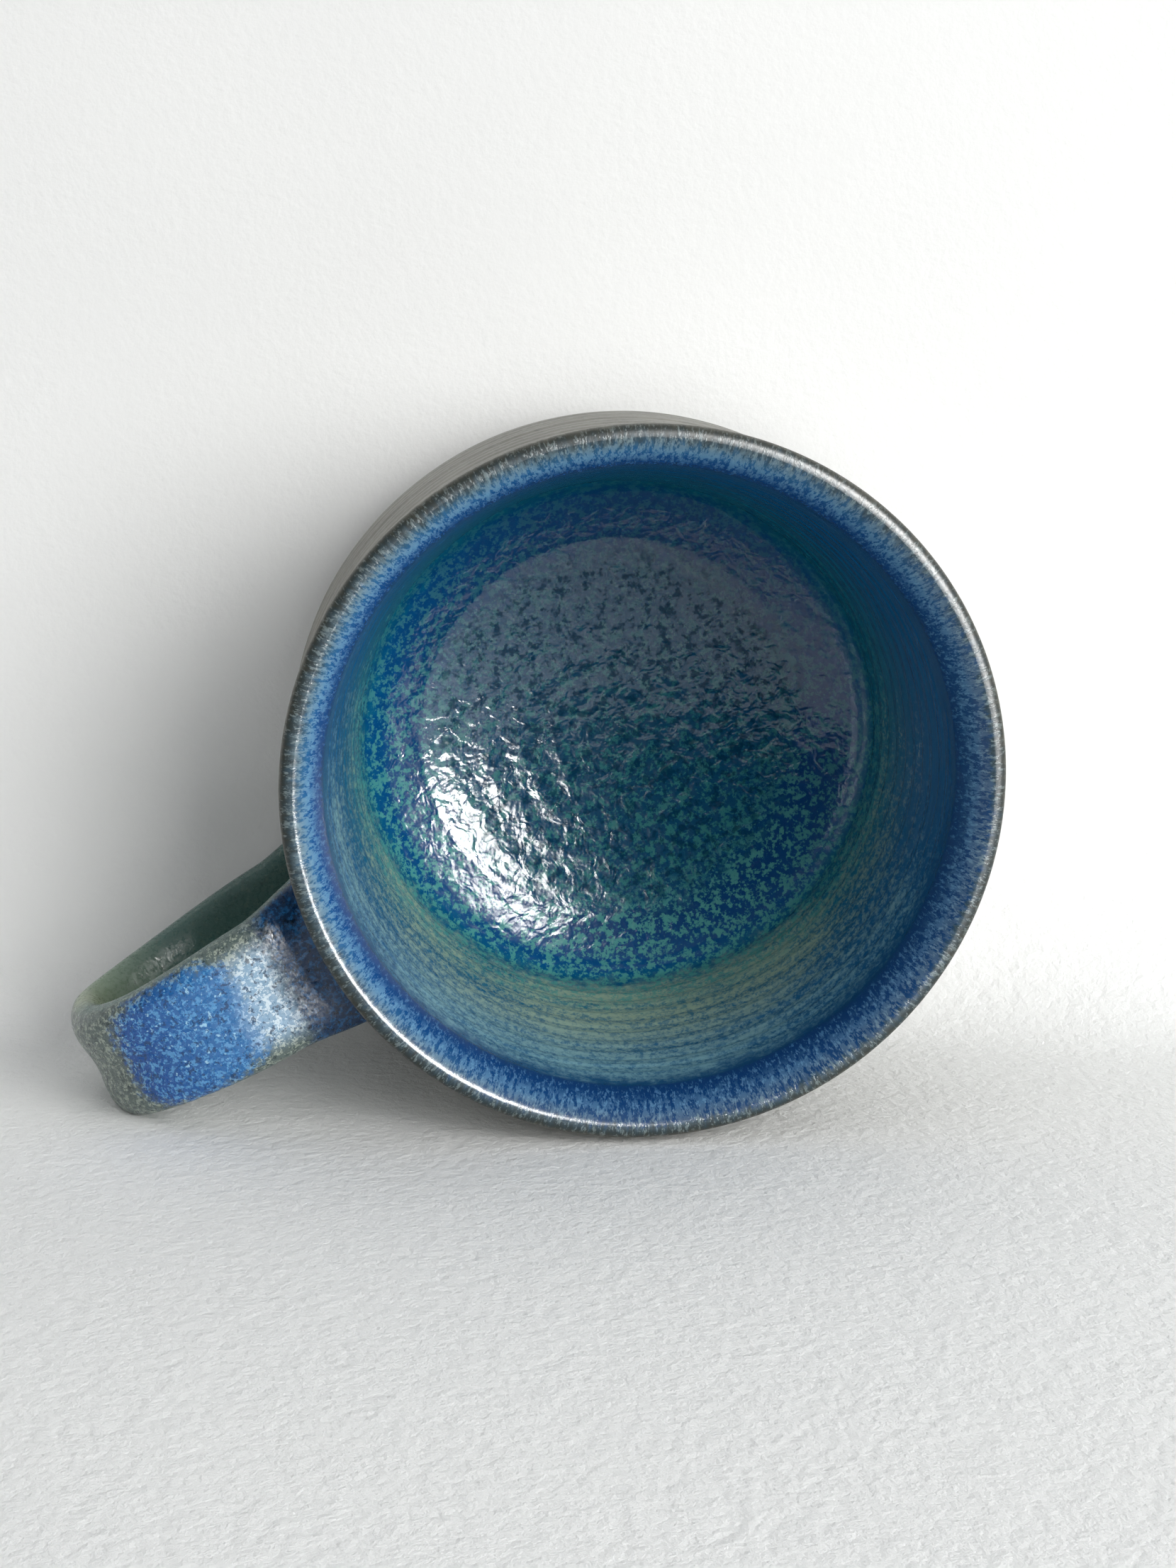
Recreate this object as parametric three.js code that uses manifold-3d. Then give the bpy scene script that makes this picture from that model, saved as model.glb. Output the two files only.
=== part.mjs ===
// A hand-thrown stoneware shaving mug with a pulled strap handle.
//
// It is built in a potter's order: the thrown clay cup, the pulled clay strap, the two collars of
// luting clay that join them, and then the coats of glaze over all of it. The base stands on z = 0,
// the cup's axis is Z, and the handle points along +X.

import * as THREE from "three";
import { mergeVertices } from "three/addons/utils/BufferGeometryUtils.js";
import Module from "manifold-3d";

// ---------------------------------------------------------------- driving dimensions, millimetres

// The cup, measured over the glaze.
const HEIGHT = 61; // table to the crest of the lip
const RIM_RADIUS = 48; // outermost edge of the lip
const LIP_ROUND = 1.8; // height and width of the rounding on the lip's outer edge
const LIP_WIDTH = 5.6; // lip edge to the mouth, seen from above
const LIP_DEPTH = 6.4; // crest to the mouth, down the flared inner face of the lip
const WAIST_DRAW = 1.7; // how far the wall is drawn in below the lip
const WAIST_DEPTH = 20; // crest to the waist
const BELLY_SWELL = 0.3; // how far the belly stands out past the lip
const BELLY_HEIGHT = 14.5; // table to the widest ring of the belly
const WALL_FOOT_THICKNESS = 10; // wall at the bottom of the cup, where the clay is left thick
const FLOOR_THICKNESS = 7.4; // table to the floor of the cup
const CORNER_WIDTH = 8.3; // wall to the flat of the floor
const CORNER_HEIGHT = 9; // floor to the start of the wall

// The trimmed foot, which stays bare of glaze.
const FOOT_TUCK = 11.3; // belly to the edge of the flat base
const BEVEL_WIDTH = 2.5; // the bevel cut round the base with a wooden knife
const BEVEL_HEIGHT = 2.5;
const BILGE_TUCK = 3.8; // belly to the fullness of the curve just above the bevel
const BILGE_HEIGHT = 8.7; // table to where that curve turns upright

// The strap handle, along the middle of its thickness.
const STRAP_WIDTH = 18;
const STRAP_THICKNESS = 5.4;
const HANDLE_REACH = 37.8; // lip edge to the elbow
const ROOT_SINK = 10; // how far the strap's ends run into the cup before they are trimmed to it
const UPPER_ROOT_DEPTH = 18.5; // crest of the lip to the strap's upper end
const SPRING_OUT = 18.6; // how strongly the strap springs out of the wall
const SPRING_UP = 13.2; // and up, towards its crown
const ELBOW_DEPTH = 30; // crest of the lip to the elbow, where the strap points straight down
const CROWN = 19.8; // how full the bend is above the elbow
const TURN_BACK = 5.5; // and below it
const RETURN_OUT = 30; // how flat the strap comes back to the belly
const RETURN_UP = 2.6;
const LOWER_ROOT_HEIGHT = 9; // table to the strap's lower end
const ROOT_SPREAD = 1.18; // the strap's width at its roots, as a multiple of its own width
const SPREAD_LENGTH = 12; // how far out from the wall that spread dies away
const ELBOW_SQUEEZE = 0.9; // the strap's width at the elbow, as a multiple of its own width
const HANDLE_SHIFT = 2; // the handle was set on a little to one side of the cup's middle

// Luting clay, glaze, and the clearances between neighbouring pieces.
const COLLAR_WIDTH = 2; // luting clay round the strap
const COLLAR_HEIGHT = 2.6; // luting clay up from the cup's wall
const COAT = 0.5; // thickness of the fired glaze
const COAT_GAP = 0.1; // glaze to the clay under it, and one coat to the next
const JOINT_GAP = 0.3; // clay to clay, and clay to the edge of a hole in a coat

// Smoothness of the faceted surfaces.
const TURNS = 56; // flats round the cup
const CURVE_STEPS = 3; // chords along each curve of the cup's profile
const STRAP_STEPS = 24; // chords along the handle
const EDGE_STEPS = 2; // chords along each rounded edge of the strap
const WELD = 1e-4; // corners closer together than this are one corner

// -------------------------------------------------------------------------- sizes that follow

const BELLY_RADIUS = RIM_RADIUS + BELLY_SWELL;
const WAIST_RADIUS = RIM_RADIUS - WAIST_DRAW;
const WAIST_HEIGHT = HEIGHT - WAIST_DEPTH;
const MOUTH_RADIUS = RIM_RADIUS - LIP_WIDTH;
const MOUTH_HEIGHT = HEIGHT - LIP_DEPTH;
const FOOT_RADIUS = BELLY_RADIUS - FOOT_TUCK;
const WALL_FOOT_RADIUS = BELLY_RADIUS - WALL_FOOT_THICKNESS;
const WALL_FOOT_HEIGHT = FLOOR_THICKNESS + CORNER_HEIGHT;
const FLOOR_RADIUS = WALL_FOOT_RADIUS - CORNER_WIDTH;

// ------------------------------------------------------------------------------------- solids

const wasm = await Module();
wasm.setup();

// A closed three.js geometry as a solid that can be joined and cut.
function solidOf(geometry) {
  const bare = new THREE.BufferGeometry();
  bare.setAttribute("position", geometry.getAttribute("position"));
  bare.setIndex(geometry.index);
  const merged = mergeVertices(bare, WELD);
  const mesh = new wasm.Mesh({
    numProp: 3,
    vertProperties: merged.getAttribute("position").array,
    triVerts: new Uint32Array(merged.index.array),
  });
  return new wasm.Manifold(mesh);
}

function geometryOf(solid) {
  const mesh = solid.getMesh();
  const geometry = new THREE.BufferGeometry();
  geometry.setAttribute("position", new THREE.BufferAttribute(mesh.vertProperties, 3));
  geometry.setIndex(new THREE.BufferAttribute(mesh.triVerts, 1));
  geometry.computeVertexNormals();
  return geometry;
}

// A profile in (radius, height), turned about the Z axis.
function turned(profile) {
  return solidOf(new THREE.LatheGeometry(profile, TURNS).rotateX(Math.PI / 2));
}

// ------------------------------------------------------------------------- the cup's profile

// The outside of the glaze, from the glaze line above the foot up to the crest of the lip.
function outsideSkin() {
  const crestRadius = RIM_RADIUS - LIP_ROUND;
  const edgeHeight = HEIGHT - LIP_ROUND;
  const skin = new THREE.Path();
  skin.moveTo(FOOT_RADIUS + BEVEL_WIDTH, BEVEL_HEIGHT);
  skin.bezierCurveTo(
    BELLY_RADIUS - BILGE_TUCK, BEVEL_HEIGHT + BEVEL_WIDTH,
    BELLY_RADIUS, BILGE_HEIGHT,
    BELLY_RADIUS, BELLY_HEIGHT,
  );
  const drawn = (WAIST_HEIGHT - BELLY_HEIGHT) / 3;
  skin.bezierCurveTo(
    BELLY_RADIUS, BELLY_HEIGHT + drawn,
    WAIST_RADIUS, WAIST_HEIGHT - drawn,
    WAIST_RADIUS, WAIST_HEIGHT,
  );
  const flare = (edgeHeight - WAIST_HEIGHT) / 2;
  skin.bezierCurveTo(
    WAIST_RADIUS, WAIST_HEIGHT + flare,
    RIM_RADIUS, edgeHeight - LIP_ROUND,
    RIM_RADIUS, edgeHeight,
  );
  skin.quadraticCurveTo(RIM_RADIUS, HEIGHT, crestRadius, HEIGHT);
  return skin.getPoints(CURVE_STEPS);
}

// The inside of the glaze, from the crest of the lip down to the middle of the floor.
function insideSkin() {
  const skin = new THREE.Path();
  skin.moveTo(RIM_RADIUS - LIP_ROUND, HEIGHT);
  skin.quadraticCurveTo(MOUTH_RADIUS, HEIGHT, MOUTH_RADIUS, MOUTH_HEIGHT);
  const taper = (MOUTH_RADIUS - WALL_FOOT_RADIUS) / 3;
  const third = (MOUTH_HEIGHT - WALL_FOOT_HEIGHT) / 3;
  skin.bezierCurveTo(
    MOUTH_RADIUS - taper / 2, MOUTH_HEIGHT - third,
    WALL_FOOT_RADIUS + taper, WALL_FOOT_HEIGHT + third,
    WALL_FOOT_RADIUS, WALL_FOOT_HEIGHT,
  );
  skin.bezierCurveTo(
    WALL_FOOT_RADIUS - taper / 2, WALL_FOOT_HEIGHT - CORNER_HEIGHT / 2,
    FLOOR_RADIUS + CORNER_WIDTH / 2, FLOOR_THICKNESS,
    FLOOR_RADIUS, FLOOR_THICKNESS,
  );
  skin.lineTo(0, FLOOR_THICKNESS);
  return skin.getPoints(CURVE_STEPS);
}

// The same line, moved sideways by a distance: to the right of its direction, so that a line which
// runs up the outside and down the inside moves out of the clay.
function offset(line, distance) {
  return line.map((point, i) => {
    const before = line[Math.max(i - 1, 0)];
    const after = line[Math.min(i + 1, line.length - 1)];
    const along = after.clone().sub(before).normalize();
    return new THREE.Vector2(point.x + along.y * distance, point.y - along.x * distance);
  });
}

// The skin runs from the glaze line over the crest to the floor; the coats part at its crest.
const outside = outsideSkin();
const inside = insideSkin();
const skin = [...outside, ...inside.slice(1)];
const underside = offset(skin, -COAT);
const claySurface = offset(skin, -COAT - COAT_GAP);
const crest = outside.length - 1;
const clayOutside = claySurface.slice(0, crest + 1);

function clayCup() {
  return turned([
    new THREE.Vector2(0, 0),
    new THREE.Vector2(FOOT_RADIUS, 0),
    ...claySurface,
  ]);
}

// The glaze poured inside: it covers the floor, the wall and the inner face of the lip.
function insideGlaze() {
  const top = inside.map((point) => point.clone());
  const under = underside.slice(crest).map((point) => point.clone());
  top[0].x -= COAT_GAP;
  under[0].x -= COAT_GAP;
  return turned([...under.reverse(), ...top]);
}

// The glaze that the cup is dipped in: it covers the outside, from the glaze line up to the crest.
function outsideGlaze() {
  const under = underside.slice(0, crest + 1).reverse();
  return turned([...outside, ...under, outside[0]]);
}

// Everything within the outside of the cup, moved out by a distance.
function cupOutline(line, distance) {
  const moved = offset(line, distance);
  const top = moved[moved.length - 1];
  const bottom = moved[0];
  return turned([
    new THREE.Vector2(0, bottom.y),
    ...moved,
    new THREE.Vector2(0, top.y),
  ]);
}

// --------------------------------------------------------------------------------- the handle

// The strap springs out of the wall, bends down at the elbow and slopes back to the belly.
function handlePath() {
  const upperRoot = new THREE.Vector3(RIM_RADIUS - ROOT_SINK, 0, HEIGHT - UPPER_ROOT_DEPTH);
  const elbow = new THREE.Vector3(RIM_RADIUS + HANDLE_REACH, 0, HEIGHT - ELBOW_DEPTH);
  const lowerRoot = new THREE.Vector3(BELLY_RADIUS - ROOT_SINK, 0, LOWER_ROOT_HEIGHT);
  const path = new THREE.CurvePath();
  path.add(new THREE.CubicBezierCurve3(
    upperRoot,
    new THREE.Vector3(upperRoot.x + SPRING_OUT, 0, upperRoot.z + SPRING_UP),
    new THREE.Vector3(elbow.x, 0, elbow.z + CROWN),
    elbow,
  ));
  path.add(new THREE.CubicBezierCurve3(
    elbow,
    new THREE.Vector3(elbow.x, 0, elbow.z - TURN_BACK),
    new THREE.Vector3(lowerRoot.x + RETURN_OUT, 0, lowerRoot.z + RETURN_UP),
    lowerRoot,
  ));
  return path;
}

// A flat strap with rounded edges, a little thinner towards them.
function strapSection(grow) {
  const halfWidth = STRAP_WIDTH / 2 + grow;
  const halfThickness = STRAP_THICKNESS / 2 + grow;
  const edge = STRAP_THICKNESS / 2;
  const section = new THREE.Shape();
  section.moveTo(halfWidth, 0);
  section.quadraticCurveTo(halfWidth, halfThickness, halfWidth - edge, halfThickness);
  section.lineTo(edge - halfWidth, halfThickness);
  section.quadraticCurveTo(-halfWidth, halfThickness, -halfWidth, 0);
  section.quadraticCurveTo(-halfWidth, -halfThickness, edge - halfWidth, -halfThickness);
  section.lineTo(halfWidth - edge, -halfThickness);
  section.quadraticCurveTo(halfWidth, -halfThickness, halfWidth, 0);
  return section;
}

// How much wider than its middle the strap is, at a distance from the cup's axis.
function spreadAt(radius) {
  const fromWall = radius - WAIST_RADIUS;
  const nearRoot = 1 - THREE.MathUtils.smoothstep(fromWall, 0, SPREAD_LENGTH);
  const nearElbow = THREE.MathUtils.smoothstep(fromWall, SPREAD_LENGTH, HANDLE_REACH);
  return 1 + (ROOT_SPREAD - 1) * nearRoot + (ELBOW_SQUEEZE - 1) * nearElbow;
}

// The strap, grown on every side of its section.
function strap(grow) {
  const geometry = new THREE.ExtrudeGeometry(strapSection(grow), {
    steps: STRAP_STEPS,
    curveSegments: EDGE_STEPS,
    extrudePath: handlePath(),
  });
  const position = geometry.getAttribute("position");
  for (let i = 0; i < position.count; i += 1) {
    const spread = spreadAt(position.getX(i));
    position.setY(i, position.getY(i) * spread + HANDLE_SHIFT);
  }
  return solidOf(geometry);
}

// The luting clay pressed round both roots of the strap, grown on every free side.
function collars(grow) {
  return strap(COLLAR_WIDTH + grow).intersect(cupOutline(clayOutside, COLLAR_HEIGHT + grow));
}

function handleClay() {
  return strap(0).subtract(cupOutline(clayOutside, JOINT_GAP));
}

// The two collars, the lower one first.
function lutingClay() {
  const both = collars(0).subtract(cupOutline(clayOutside, JOINT_GAP)).subtract(strap(JOINT_GAP));
  const height = (solid) => solid.boundingBox().min[2];
  return both.decompose().sort((a, b) => height(a) - height(b));
}

// The handle with both of its collars, grown on every side.
function handleBlock(grow) {
  return strap(grow).add(collars(grow));
}

function handleGlaze() {
  return handleBlock(COAT + COAT_GAP)
    .subtract(handleBlock(COAT_GAP))
    .subtract(cupOutline(outside, JOINT_GAP));
}

// ------------------------------------------------------------------------------- the assembly

const finishes = {
  clay: { color: 0x8a7a66, roughness: 0.9, metalness: 0 },
  luting: { color: 0x7d6d5a, roughness: 0.9, metalness: 0 },
  insideGlaze: { color: 0x1d5a72, roughness: 0.2, metalness: 0 },
  outsideGlaze: { color: 0x8b9188, roughness: 0.35, metalness: 0 },
  handleGlaze: { color: 0x3f66a6, roughness: 0.3, metalness: 0 },
};

function piece(name, solid, finish) {
  const mesh = new THREE.Mesh(geometryOf(solid), new THREE.MeshStandardMaterial(finish));
  mesh.name = name;
  return mesh;
}

const cup = new THREE.Group();
cup.add(
  piece("cup_clay", clayCup(), finishes.clay),
  piece("inside_glaze", insideGlaze(), finishes.insideGlaze),
  piece(
    "outside_glaze",
    outsideGlaze().subtract(handleBlock(JOINT_GAP)),
    finishes.outsideGlaze,
  ),
);

const [lowerLuting, upperLuting] = lutingClay();
const handle = new THREE.Group();
handle.add(
  piece("handle_clay", handleClay(), finishes.clay),
  piece("upper_luting", upperLuting, finishes.luting),
  piece("lower_luting", lowerLuting, finishes.luting),
  piece("handle_glaze", handleGlaze(), finishes.handleGlaze),
);

const mug = new THREE.Group();
mug.add(cup, handle);

export default mug;
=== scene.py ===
# %% [markdown]
# # A shaving mug, thrown on the wheel and glazed in cobalt and teal
#
# The mug is a short, wide cup with a pulled strap handle, made of stoneware. A potter makes it in
# this order: throw the cup, turn the foot, pull a strap of clay, join it to the wall, pour glaze
# inside, and dip the outside. This script follows that order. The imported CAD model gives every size;
# the cells below add what the wheel, the hand and the fire do to it.

# %% Load the frame
import math

import bpy
import numpy as np
from mathutils import Matrix, Vector


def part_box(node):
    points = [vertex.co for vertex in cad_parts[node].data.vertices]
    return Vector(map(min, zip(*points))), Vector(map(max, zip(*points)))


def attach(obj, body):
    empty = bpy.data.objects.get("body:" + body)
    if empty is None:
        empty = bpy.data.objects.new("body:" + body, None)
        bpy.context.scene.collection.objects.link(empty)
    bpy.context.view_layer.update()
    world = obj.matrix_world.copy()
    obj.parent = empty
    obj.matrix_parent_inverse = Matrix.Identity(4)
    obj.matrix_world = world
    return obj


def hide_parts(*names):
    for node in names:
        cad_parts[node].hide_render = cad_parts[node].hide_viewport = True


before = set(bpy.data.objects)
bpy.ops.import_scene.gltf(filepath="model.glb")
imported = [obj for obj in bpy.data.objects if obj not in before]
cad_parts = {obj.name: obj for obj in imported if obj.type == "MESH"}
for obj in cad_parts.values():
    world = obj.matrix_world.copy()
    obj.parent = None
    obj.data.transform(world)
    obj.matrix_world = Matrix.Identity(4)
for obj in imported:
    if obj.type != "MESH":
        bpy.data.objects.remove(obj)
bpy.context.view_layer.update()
print("CAD nodes:", ", ".join(sorted(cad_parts)))

# %% [markdown]
# ## Sizes
#
# The driving sizes are read from the CAD solids, so a new pack moves everything with it. Only what
# the solids cannot say, such as where the lip turns over, is named here. Lengths are in metres.

# %% Sizes from the frame
MM = 0.001
CUP_LOW, CUP_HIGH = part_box("inside_glaze")
SKIN_LOW, SKIN_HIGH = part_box("outside_glaze")
GRIP_LOW, GRIP_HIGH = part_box("handle_glaze")

HEIGHT = CUP_HIGH.z  # table to the crest of the lip
BELLY_RADIUS = SKIN_HIGH.x
GLAZE_LINE = SKIN_LOW.z  # height where the dipped glaze stops, above the foot
COAT = 0.5 * MM  # thickness of the fired glaze
CLAY_DEPTH = 0.55 * MM  # surface of the glaze to the clay under it
FLOOR_HEIGHT = CUP_LOW.z + COAT
HANDLE_SIDE = (GRIP_LOW.y + GRIP_HIGH.y) / 2  # the handle sits a little to one side
print(f"height {HEIGHT / MM:.1f} mm, belly radius {BELLY_RADIUS / MM:.1f} mm")

# %% [markdown]
# ## The camera
#
# The camera looks down into the mouth of the mug, from a little to one side of its axis, with a
# normal lens. It comes first, because every later choice is judged through it.

# %% Camera
CAMERA_PLACE = Vector((0.53, -65.1, 362.8)) * MM
CAMERA_FORWARD = Vector((0.0191, 0.1966, -0.9803)).normalized()
CAMERA_RIGHT = Vector((-0.8886, 0.4527, 0.0735))
LENS = 54.07


def turned_to(forward, right):
    """The turn that points a camera or a lamp forward, with that direction to its right."""
    right = (right - forward * right.dot(forward)).normalized()
    up = right.cross(forward)
    return Matrix((right, up, -forward)).transposed().to_4x4()


camera = bpy.data.objects.new("Camera", bpy.data.cameras.new("Camera"))
camera.data.lens = LENS
camera.data.sensor_width = 36
camera.matrix_world = Matrix.Translation(CAMERA_PLACE) @ turned_to(CAMERA_FORWARD, CAMERA_RIGHT)
bpy.context.scene.collection.objects.link(camera)
bpy.context.scene.camera = camera
CAMERA_UP = camera.matrix_world.to_3x3() @ Vector((0, 1, 0))
SIDEWAYS = camera.matrix_world.to_3x3() @ Vector((1, 0, 0))
print("camera", tuple(round(v, 3) for v in CAMERA_PLACE))

# %% [markdown]
# ## Helpers for nodes
#
# A material is a tree of small nodes. A few helpers keep the cells below short: they add a node and
# wire it, do arithmetic, step from one value to another, and lay one colour over another.


# %% Node helpers
def wire(tree, made, inputs):
    """Fills each named input of a node with a value or a link."""
    for name, value in inputs.items():
        if isinstance(value, bpy.types.NodeSocket):
            tree.links.new(value, made.inputs[name])
        else:
            made.inputs[name].default_value = value


def node(tree, kind, inputs=None, **settings):
    """Adds a node, sets its options, and fills its inputs."""
    made = tree.nodes.new(kind)
    for name, value in settings.items():
        setattr(made, name, value)
    wire(tree, made, inputs or {})
    return made


def maths(tree, operation, first, second=0.0):
    made = node(tree, "ShaderNodeMath", {0: first, 1: second}, operation=operation)
    return made.outputs[0]


def times(tree, *parts):
    """Several values or masks multiplied together."""
    product = parts[0]
    for part in parts[1:]:
        product = maths(tree, "MULTIPLY", product, part)
    return product


def plus(tree, *parts):
    total = parts[0]
    for part in parts[1:]:
        total = maths(tree, "ADD", total, part)
    return total


def minus(tree, first, second):
    return maths(tree, "SUBTRACT", first, second)


def step(tree, value, low, high, bottom=0.0, top=1.0):
    """A smooth step from bottom to top, as value goes from low to high."""
    inputs = {"Value": value, "From Min": low, "From Max": high, "To Min": bottom, "To Max": top}
    return node(tree, "ShaderNodeMapRange", inputs, interpolation_type="SMOOTHSTEP").outputs[0]


def band(tree, value, start, end, soft):
    """1 between start and end, and 0 outside, with soft edges."""
    rise = step(tree, value, start - soft, start + soft)
    fall = step(tree, value, end - soft, end + soft, 1.0, 0.0)
    return times(tree, rise, fall)


def blend(tree, share, under, over):
    """Lays the colour over on the colour under, by a share from 0 to 1."""
    made = node(tree, "ShaderNodeMix", {0: share}, data_type="RGBA")
    for name, colour in ((6, under), (7, over)):
        if isinstance(colour, bpy.types.NodeSocket):
            tree.links.new(colour, made.inputs[name])
        else:
            made.inputs[name].default_value = (*colour, 1.0)
    return made.outputs[2]


def noise(tree, vector, scale, detail=2.0, roughness=0.5, distortion=0.0):
    inputs = {"Vector": vector, "Scale": scale, "Detail": detail, "Roughness": roughness}
    inputs["Distortion"] = distortion
    return node(tree, "ShaderNodeTexNoise", inputs).outputs[0]


def stretched(tree, vector, x, y, z):
    """The same place, with each direction scaled: a small number draws the pattern out."""
    return node(tree, "ShaderNodeMapping", {"Vector": vector, "Scale": (x, y, z)}).outputs[0]


def colour(red, green, blue):
    """A colour as mixed on a palette, 0 to 255, turned into the linear light that shaders use."""
    return tuple(
        v / 12.92 if v <= 0.04045 else ((v + 0.055) / 1.055) ** 2.4
        for v in (red / 255, green / 255, blue / 255)
    )


def shader_group(name, inputs, outputs):
    """An empty node group, and its input and output nodes. Inputs are (name, kind, value)."""
    group = bpy.data.node_groups.new(name, "ShaderNodeTree")
    for label, kind, value in inputs:
        socket = group.interface.new_socket(label, in_out="INPUT", socket_type=f"NodeSocket{kind}")
        if value is not None:
            socket.default_value = value
    for label, kind in outputs:
        group.interface.new_socket(label, in_out="OUTPUT", socket_type=f"NodeSocket{kind}")
    return group, group.nodes.new("NodeGroupInput").outputs, group.nodes.new("NodeGroupOutput")


def use(tree, group, inputs):
    """Places a node group in a tree with its own values, and returns its outputs."""
    made = tree.nodes.new("ShaderNodeGroup")
    made.node_tree = group
    wire(tree, made, inputs)
    return made.outputs


def material(name):
    """A new material, its node tree, and its Principled BSDF."""
    made = bpy.data.materials.new(name)
    made.use_nodes = True
    return made, made.node_tree, made.node_tree.nodes["Principled BSDF"]


print("node helpers ready")

# %% [markdown]
# ## The stage
#
# A sheet of pale paper: one leg lies flat under the foot of the mug, and the other stands close
# against its side, with a rounded bend between them. The standing leg shows only its front, so that
# a camera behind it still sees the mug. Paper is nearly flat, but it has a faint tooth, and its
# tone drifts slowly from place to place.

# %% Paper
def smooth(value, low, high):
    """A smooth step from 0 to 1, as value goes from low to high."""
    t = np.clip((value - low) / (high - low), 0, 1)
    return t * t * (3 - 2 * t)


LEAN = Vector((0.454, 0.891, 0)).normalized()  # from the mug's axis to the standing leg
LEAN_SIDE = Vector((0.891, -0.454, 0)).normalized()
LEG_DISTANCE = BELLY_RADIUS + 0.4 * MM
BEND = 11 * MM
OPEN_BEND = 32 * MM
BEND_LEFT = (10 * MM, 90 * MM)  # where the bend starts to open, and is open, on each side
BEND_RIGHT = (95 * MM, 170 * MM)
BEND_LIFT = 0.02 * MM  # keeps the standing leg just clear of the flat one
PAPER_REACH = 2.6
LEG_HEIGHT = 0.25
BEND_STEPS = 24
SIDE_STEPS = 121


def paper_material(name, tooth_depth):
    made, tree, surface = material(name)
    place = node(tree, "ShaderNodeTexCoord").outputs["Object"]
    drift = noise(tree, place, 9.0, 2.0)
    tooth = noise(tree, place, 520.0, 4.0, 0.6)
    tone = blend(tree, drift, colour(226, 227, 227), colour(236, 237, 236))
    tree.links.new(tone, surface.inputs["Base Color"])
    surface.inputs["Roughness"].default_value = 0.85
    surface.inputs["Specular IOR Level"].default_value = 0.2
    bump = node(tree, "ShaderNodeBump", {"Height": tooth, "Strength": 1.0, "Distance": tooth_depth})
    tree.links.new(bump.outputs[0], surface.inputs["Normal"])
    return made, tree, surface


def one_sided(tree, surface):
    """Lets a camera and light through the back of a surface."""
    behind = node(tree, "ShaderNodeNewGeometry").outputs["Backfacing"]
    clear = node(tree, "ShaderNodeBsdfTransparent").outputs[0]
    both = node(tree, "ShaderNodeMixShader", {0: behind, 1: surface.outputs[0], 2: clear})
    tree.links.new(both.outputs[0], tree.nodes["Material Output"].inputs["Surface"])


def sheet_mesh(name, outlines, sides, surface):
    """A sheet through a row of outlines of (distance, height) points, one at each place sideways."""
    points = [
        LEAN * distance + Vector((0, 0, z)) + LEAN_SIDE * side
        for side, line in zip(sides, outlines)
        for distance, z in line
    ]
    count = len(outlines[0])
    faces = [
        (row + i + 1, row + i, row + count + i, row + count + i + 1)
        for row in range(0, (len(sides) - 1) * count, count)
        for i in range(count - 1)
    ]
    mesh = bpy.data.meshes.new(name)
    mesh.from_pydata(points, [], faces)
    mesh.shade_smooth()
    mesh.materials.append(surface)
    made = bpy.data.objects.new(name, mesh)
    bpy.context.scene.collection.objects.link(made)
    return made


floor_paper, _, _ = paper_material("pale_paper", 0.16 * MM)
flat = [(-PAPER_REACH, 0), (PAPER_REACH, 0)]
paper_floor = sheet_mesh("paper_floor", [flat, flat], [-PAPER_REACH, PAPER_REACH], floor_paper)
wall_paper, wall_tree, wall_surface = paper_material("pale_paper_standing", 0.45 * MM)
one_sided(wall_tree, wall_surface)


def standing_outline(side):
    """The bend is tight where the mug stands in it, and opens out to both sides."""
    open_share = max(smooth(-side, *BEND_LEFT), smooth(side, *BEND_RIGHT))
    radius = BEND + (OPEN_BEND - BEND) * open_share
    outline = [
        (LEG_DISTANCE - radius + radius * math.sin(turn), radius - radius * math.cos(turn) + BEND_LIFT)
        for turn in np.linspace(0, math.pi / 2, BEND_STEPS)
    ]
    return [*outline, (LEG_DISTANCE, LEG_HEIGHT)]


sides = [-PAPER_REACH, *np.linspace(-0.3, 0.3, SIDE_STEPS), PAPER_REACH]
paper_wall = sheet_mesh("paper_wall", [standing_outline(side) for side in sides], sides, wall_paper)
paper_wall.visible_shadow = False
print("stage:", paper_floor.name, paper_wall.name)

# %% [markdown]
# ## Light
#
# One window stands to the right and in front, and the room fills the shadows. A broad lamp gives the
# window's daylight, with soft shadows. A long, narrow lamp in the same place is seen only in
# reflections: it is the bright gap between the curtains, and draws a bar on a glossy surface. The
# room is light at eye level and on the window's side, and dark overhead, where a glossy floor looks.

# %% Lights
MUG_MIDDLE = Vector((0, 0, HEIGHT / 2))
WINDOW_DISTANCE = 0.9
WINDOW_WAY = (0.55, 0.12, 0.82)
ROOM_LIGHT, ROOM_DARK = 0.55, 0.02  # at eye level, and overhead
ROOM_SHADE = 0.25  # share of that light on the side away from the window


def window(name, right, up, toward, width, height, power, tint, lean=0.0):
    """An area light, in the direction (right, up, toward) as the camera sees it."""
    way = (SIDEWAYS * right + CAMERA_UP * up - CAMERA_FORWARD * toward).normalized()
    across = way.cross(CAMERA_UP * math.cos(lean) + SIDEWAYS * math.sin(lean))
    lamp = bpy.data.lights.new(name, "AREA")
    lamp.shape = "RECTANGLE"
    lamp.size = width
    lamp.size_y = height
    lamp.energy = power
    lamp.color = tint
    made = bpy.data.objects.new(name, lamp)
    place = Matrix.Translation(MUG_MIDDLE + way * WINDOW_DISTANCE)
    made.matrix_world = place @ turned_to(-way, across)
    bpy.context.scene.collection.objects.link(made)
    return made


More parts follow.
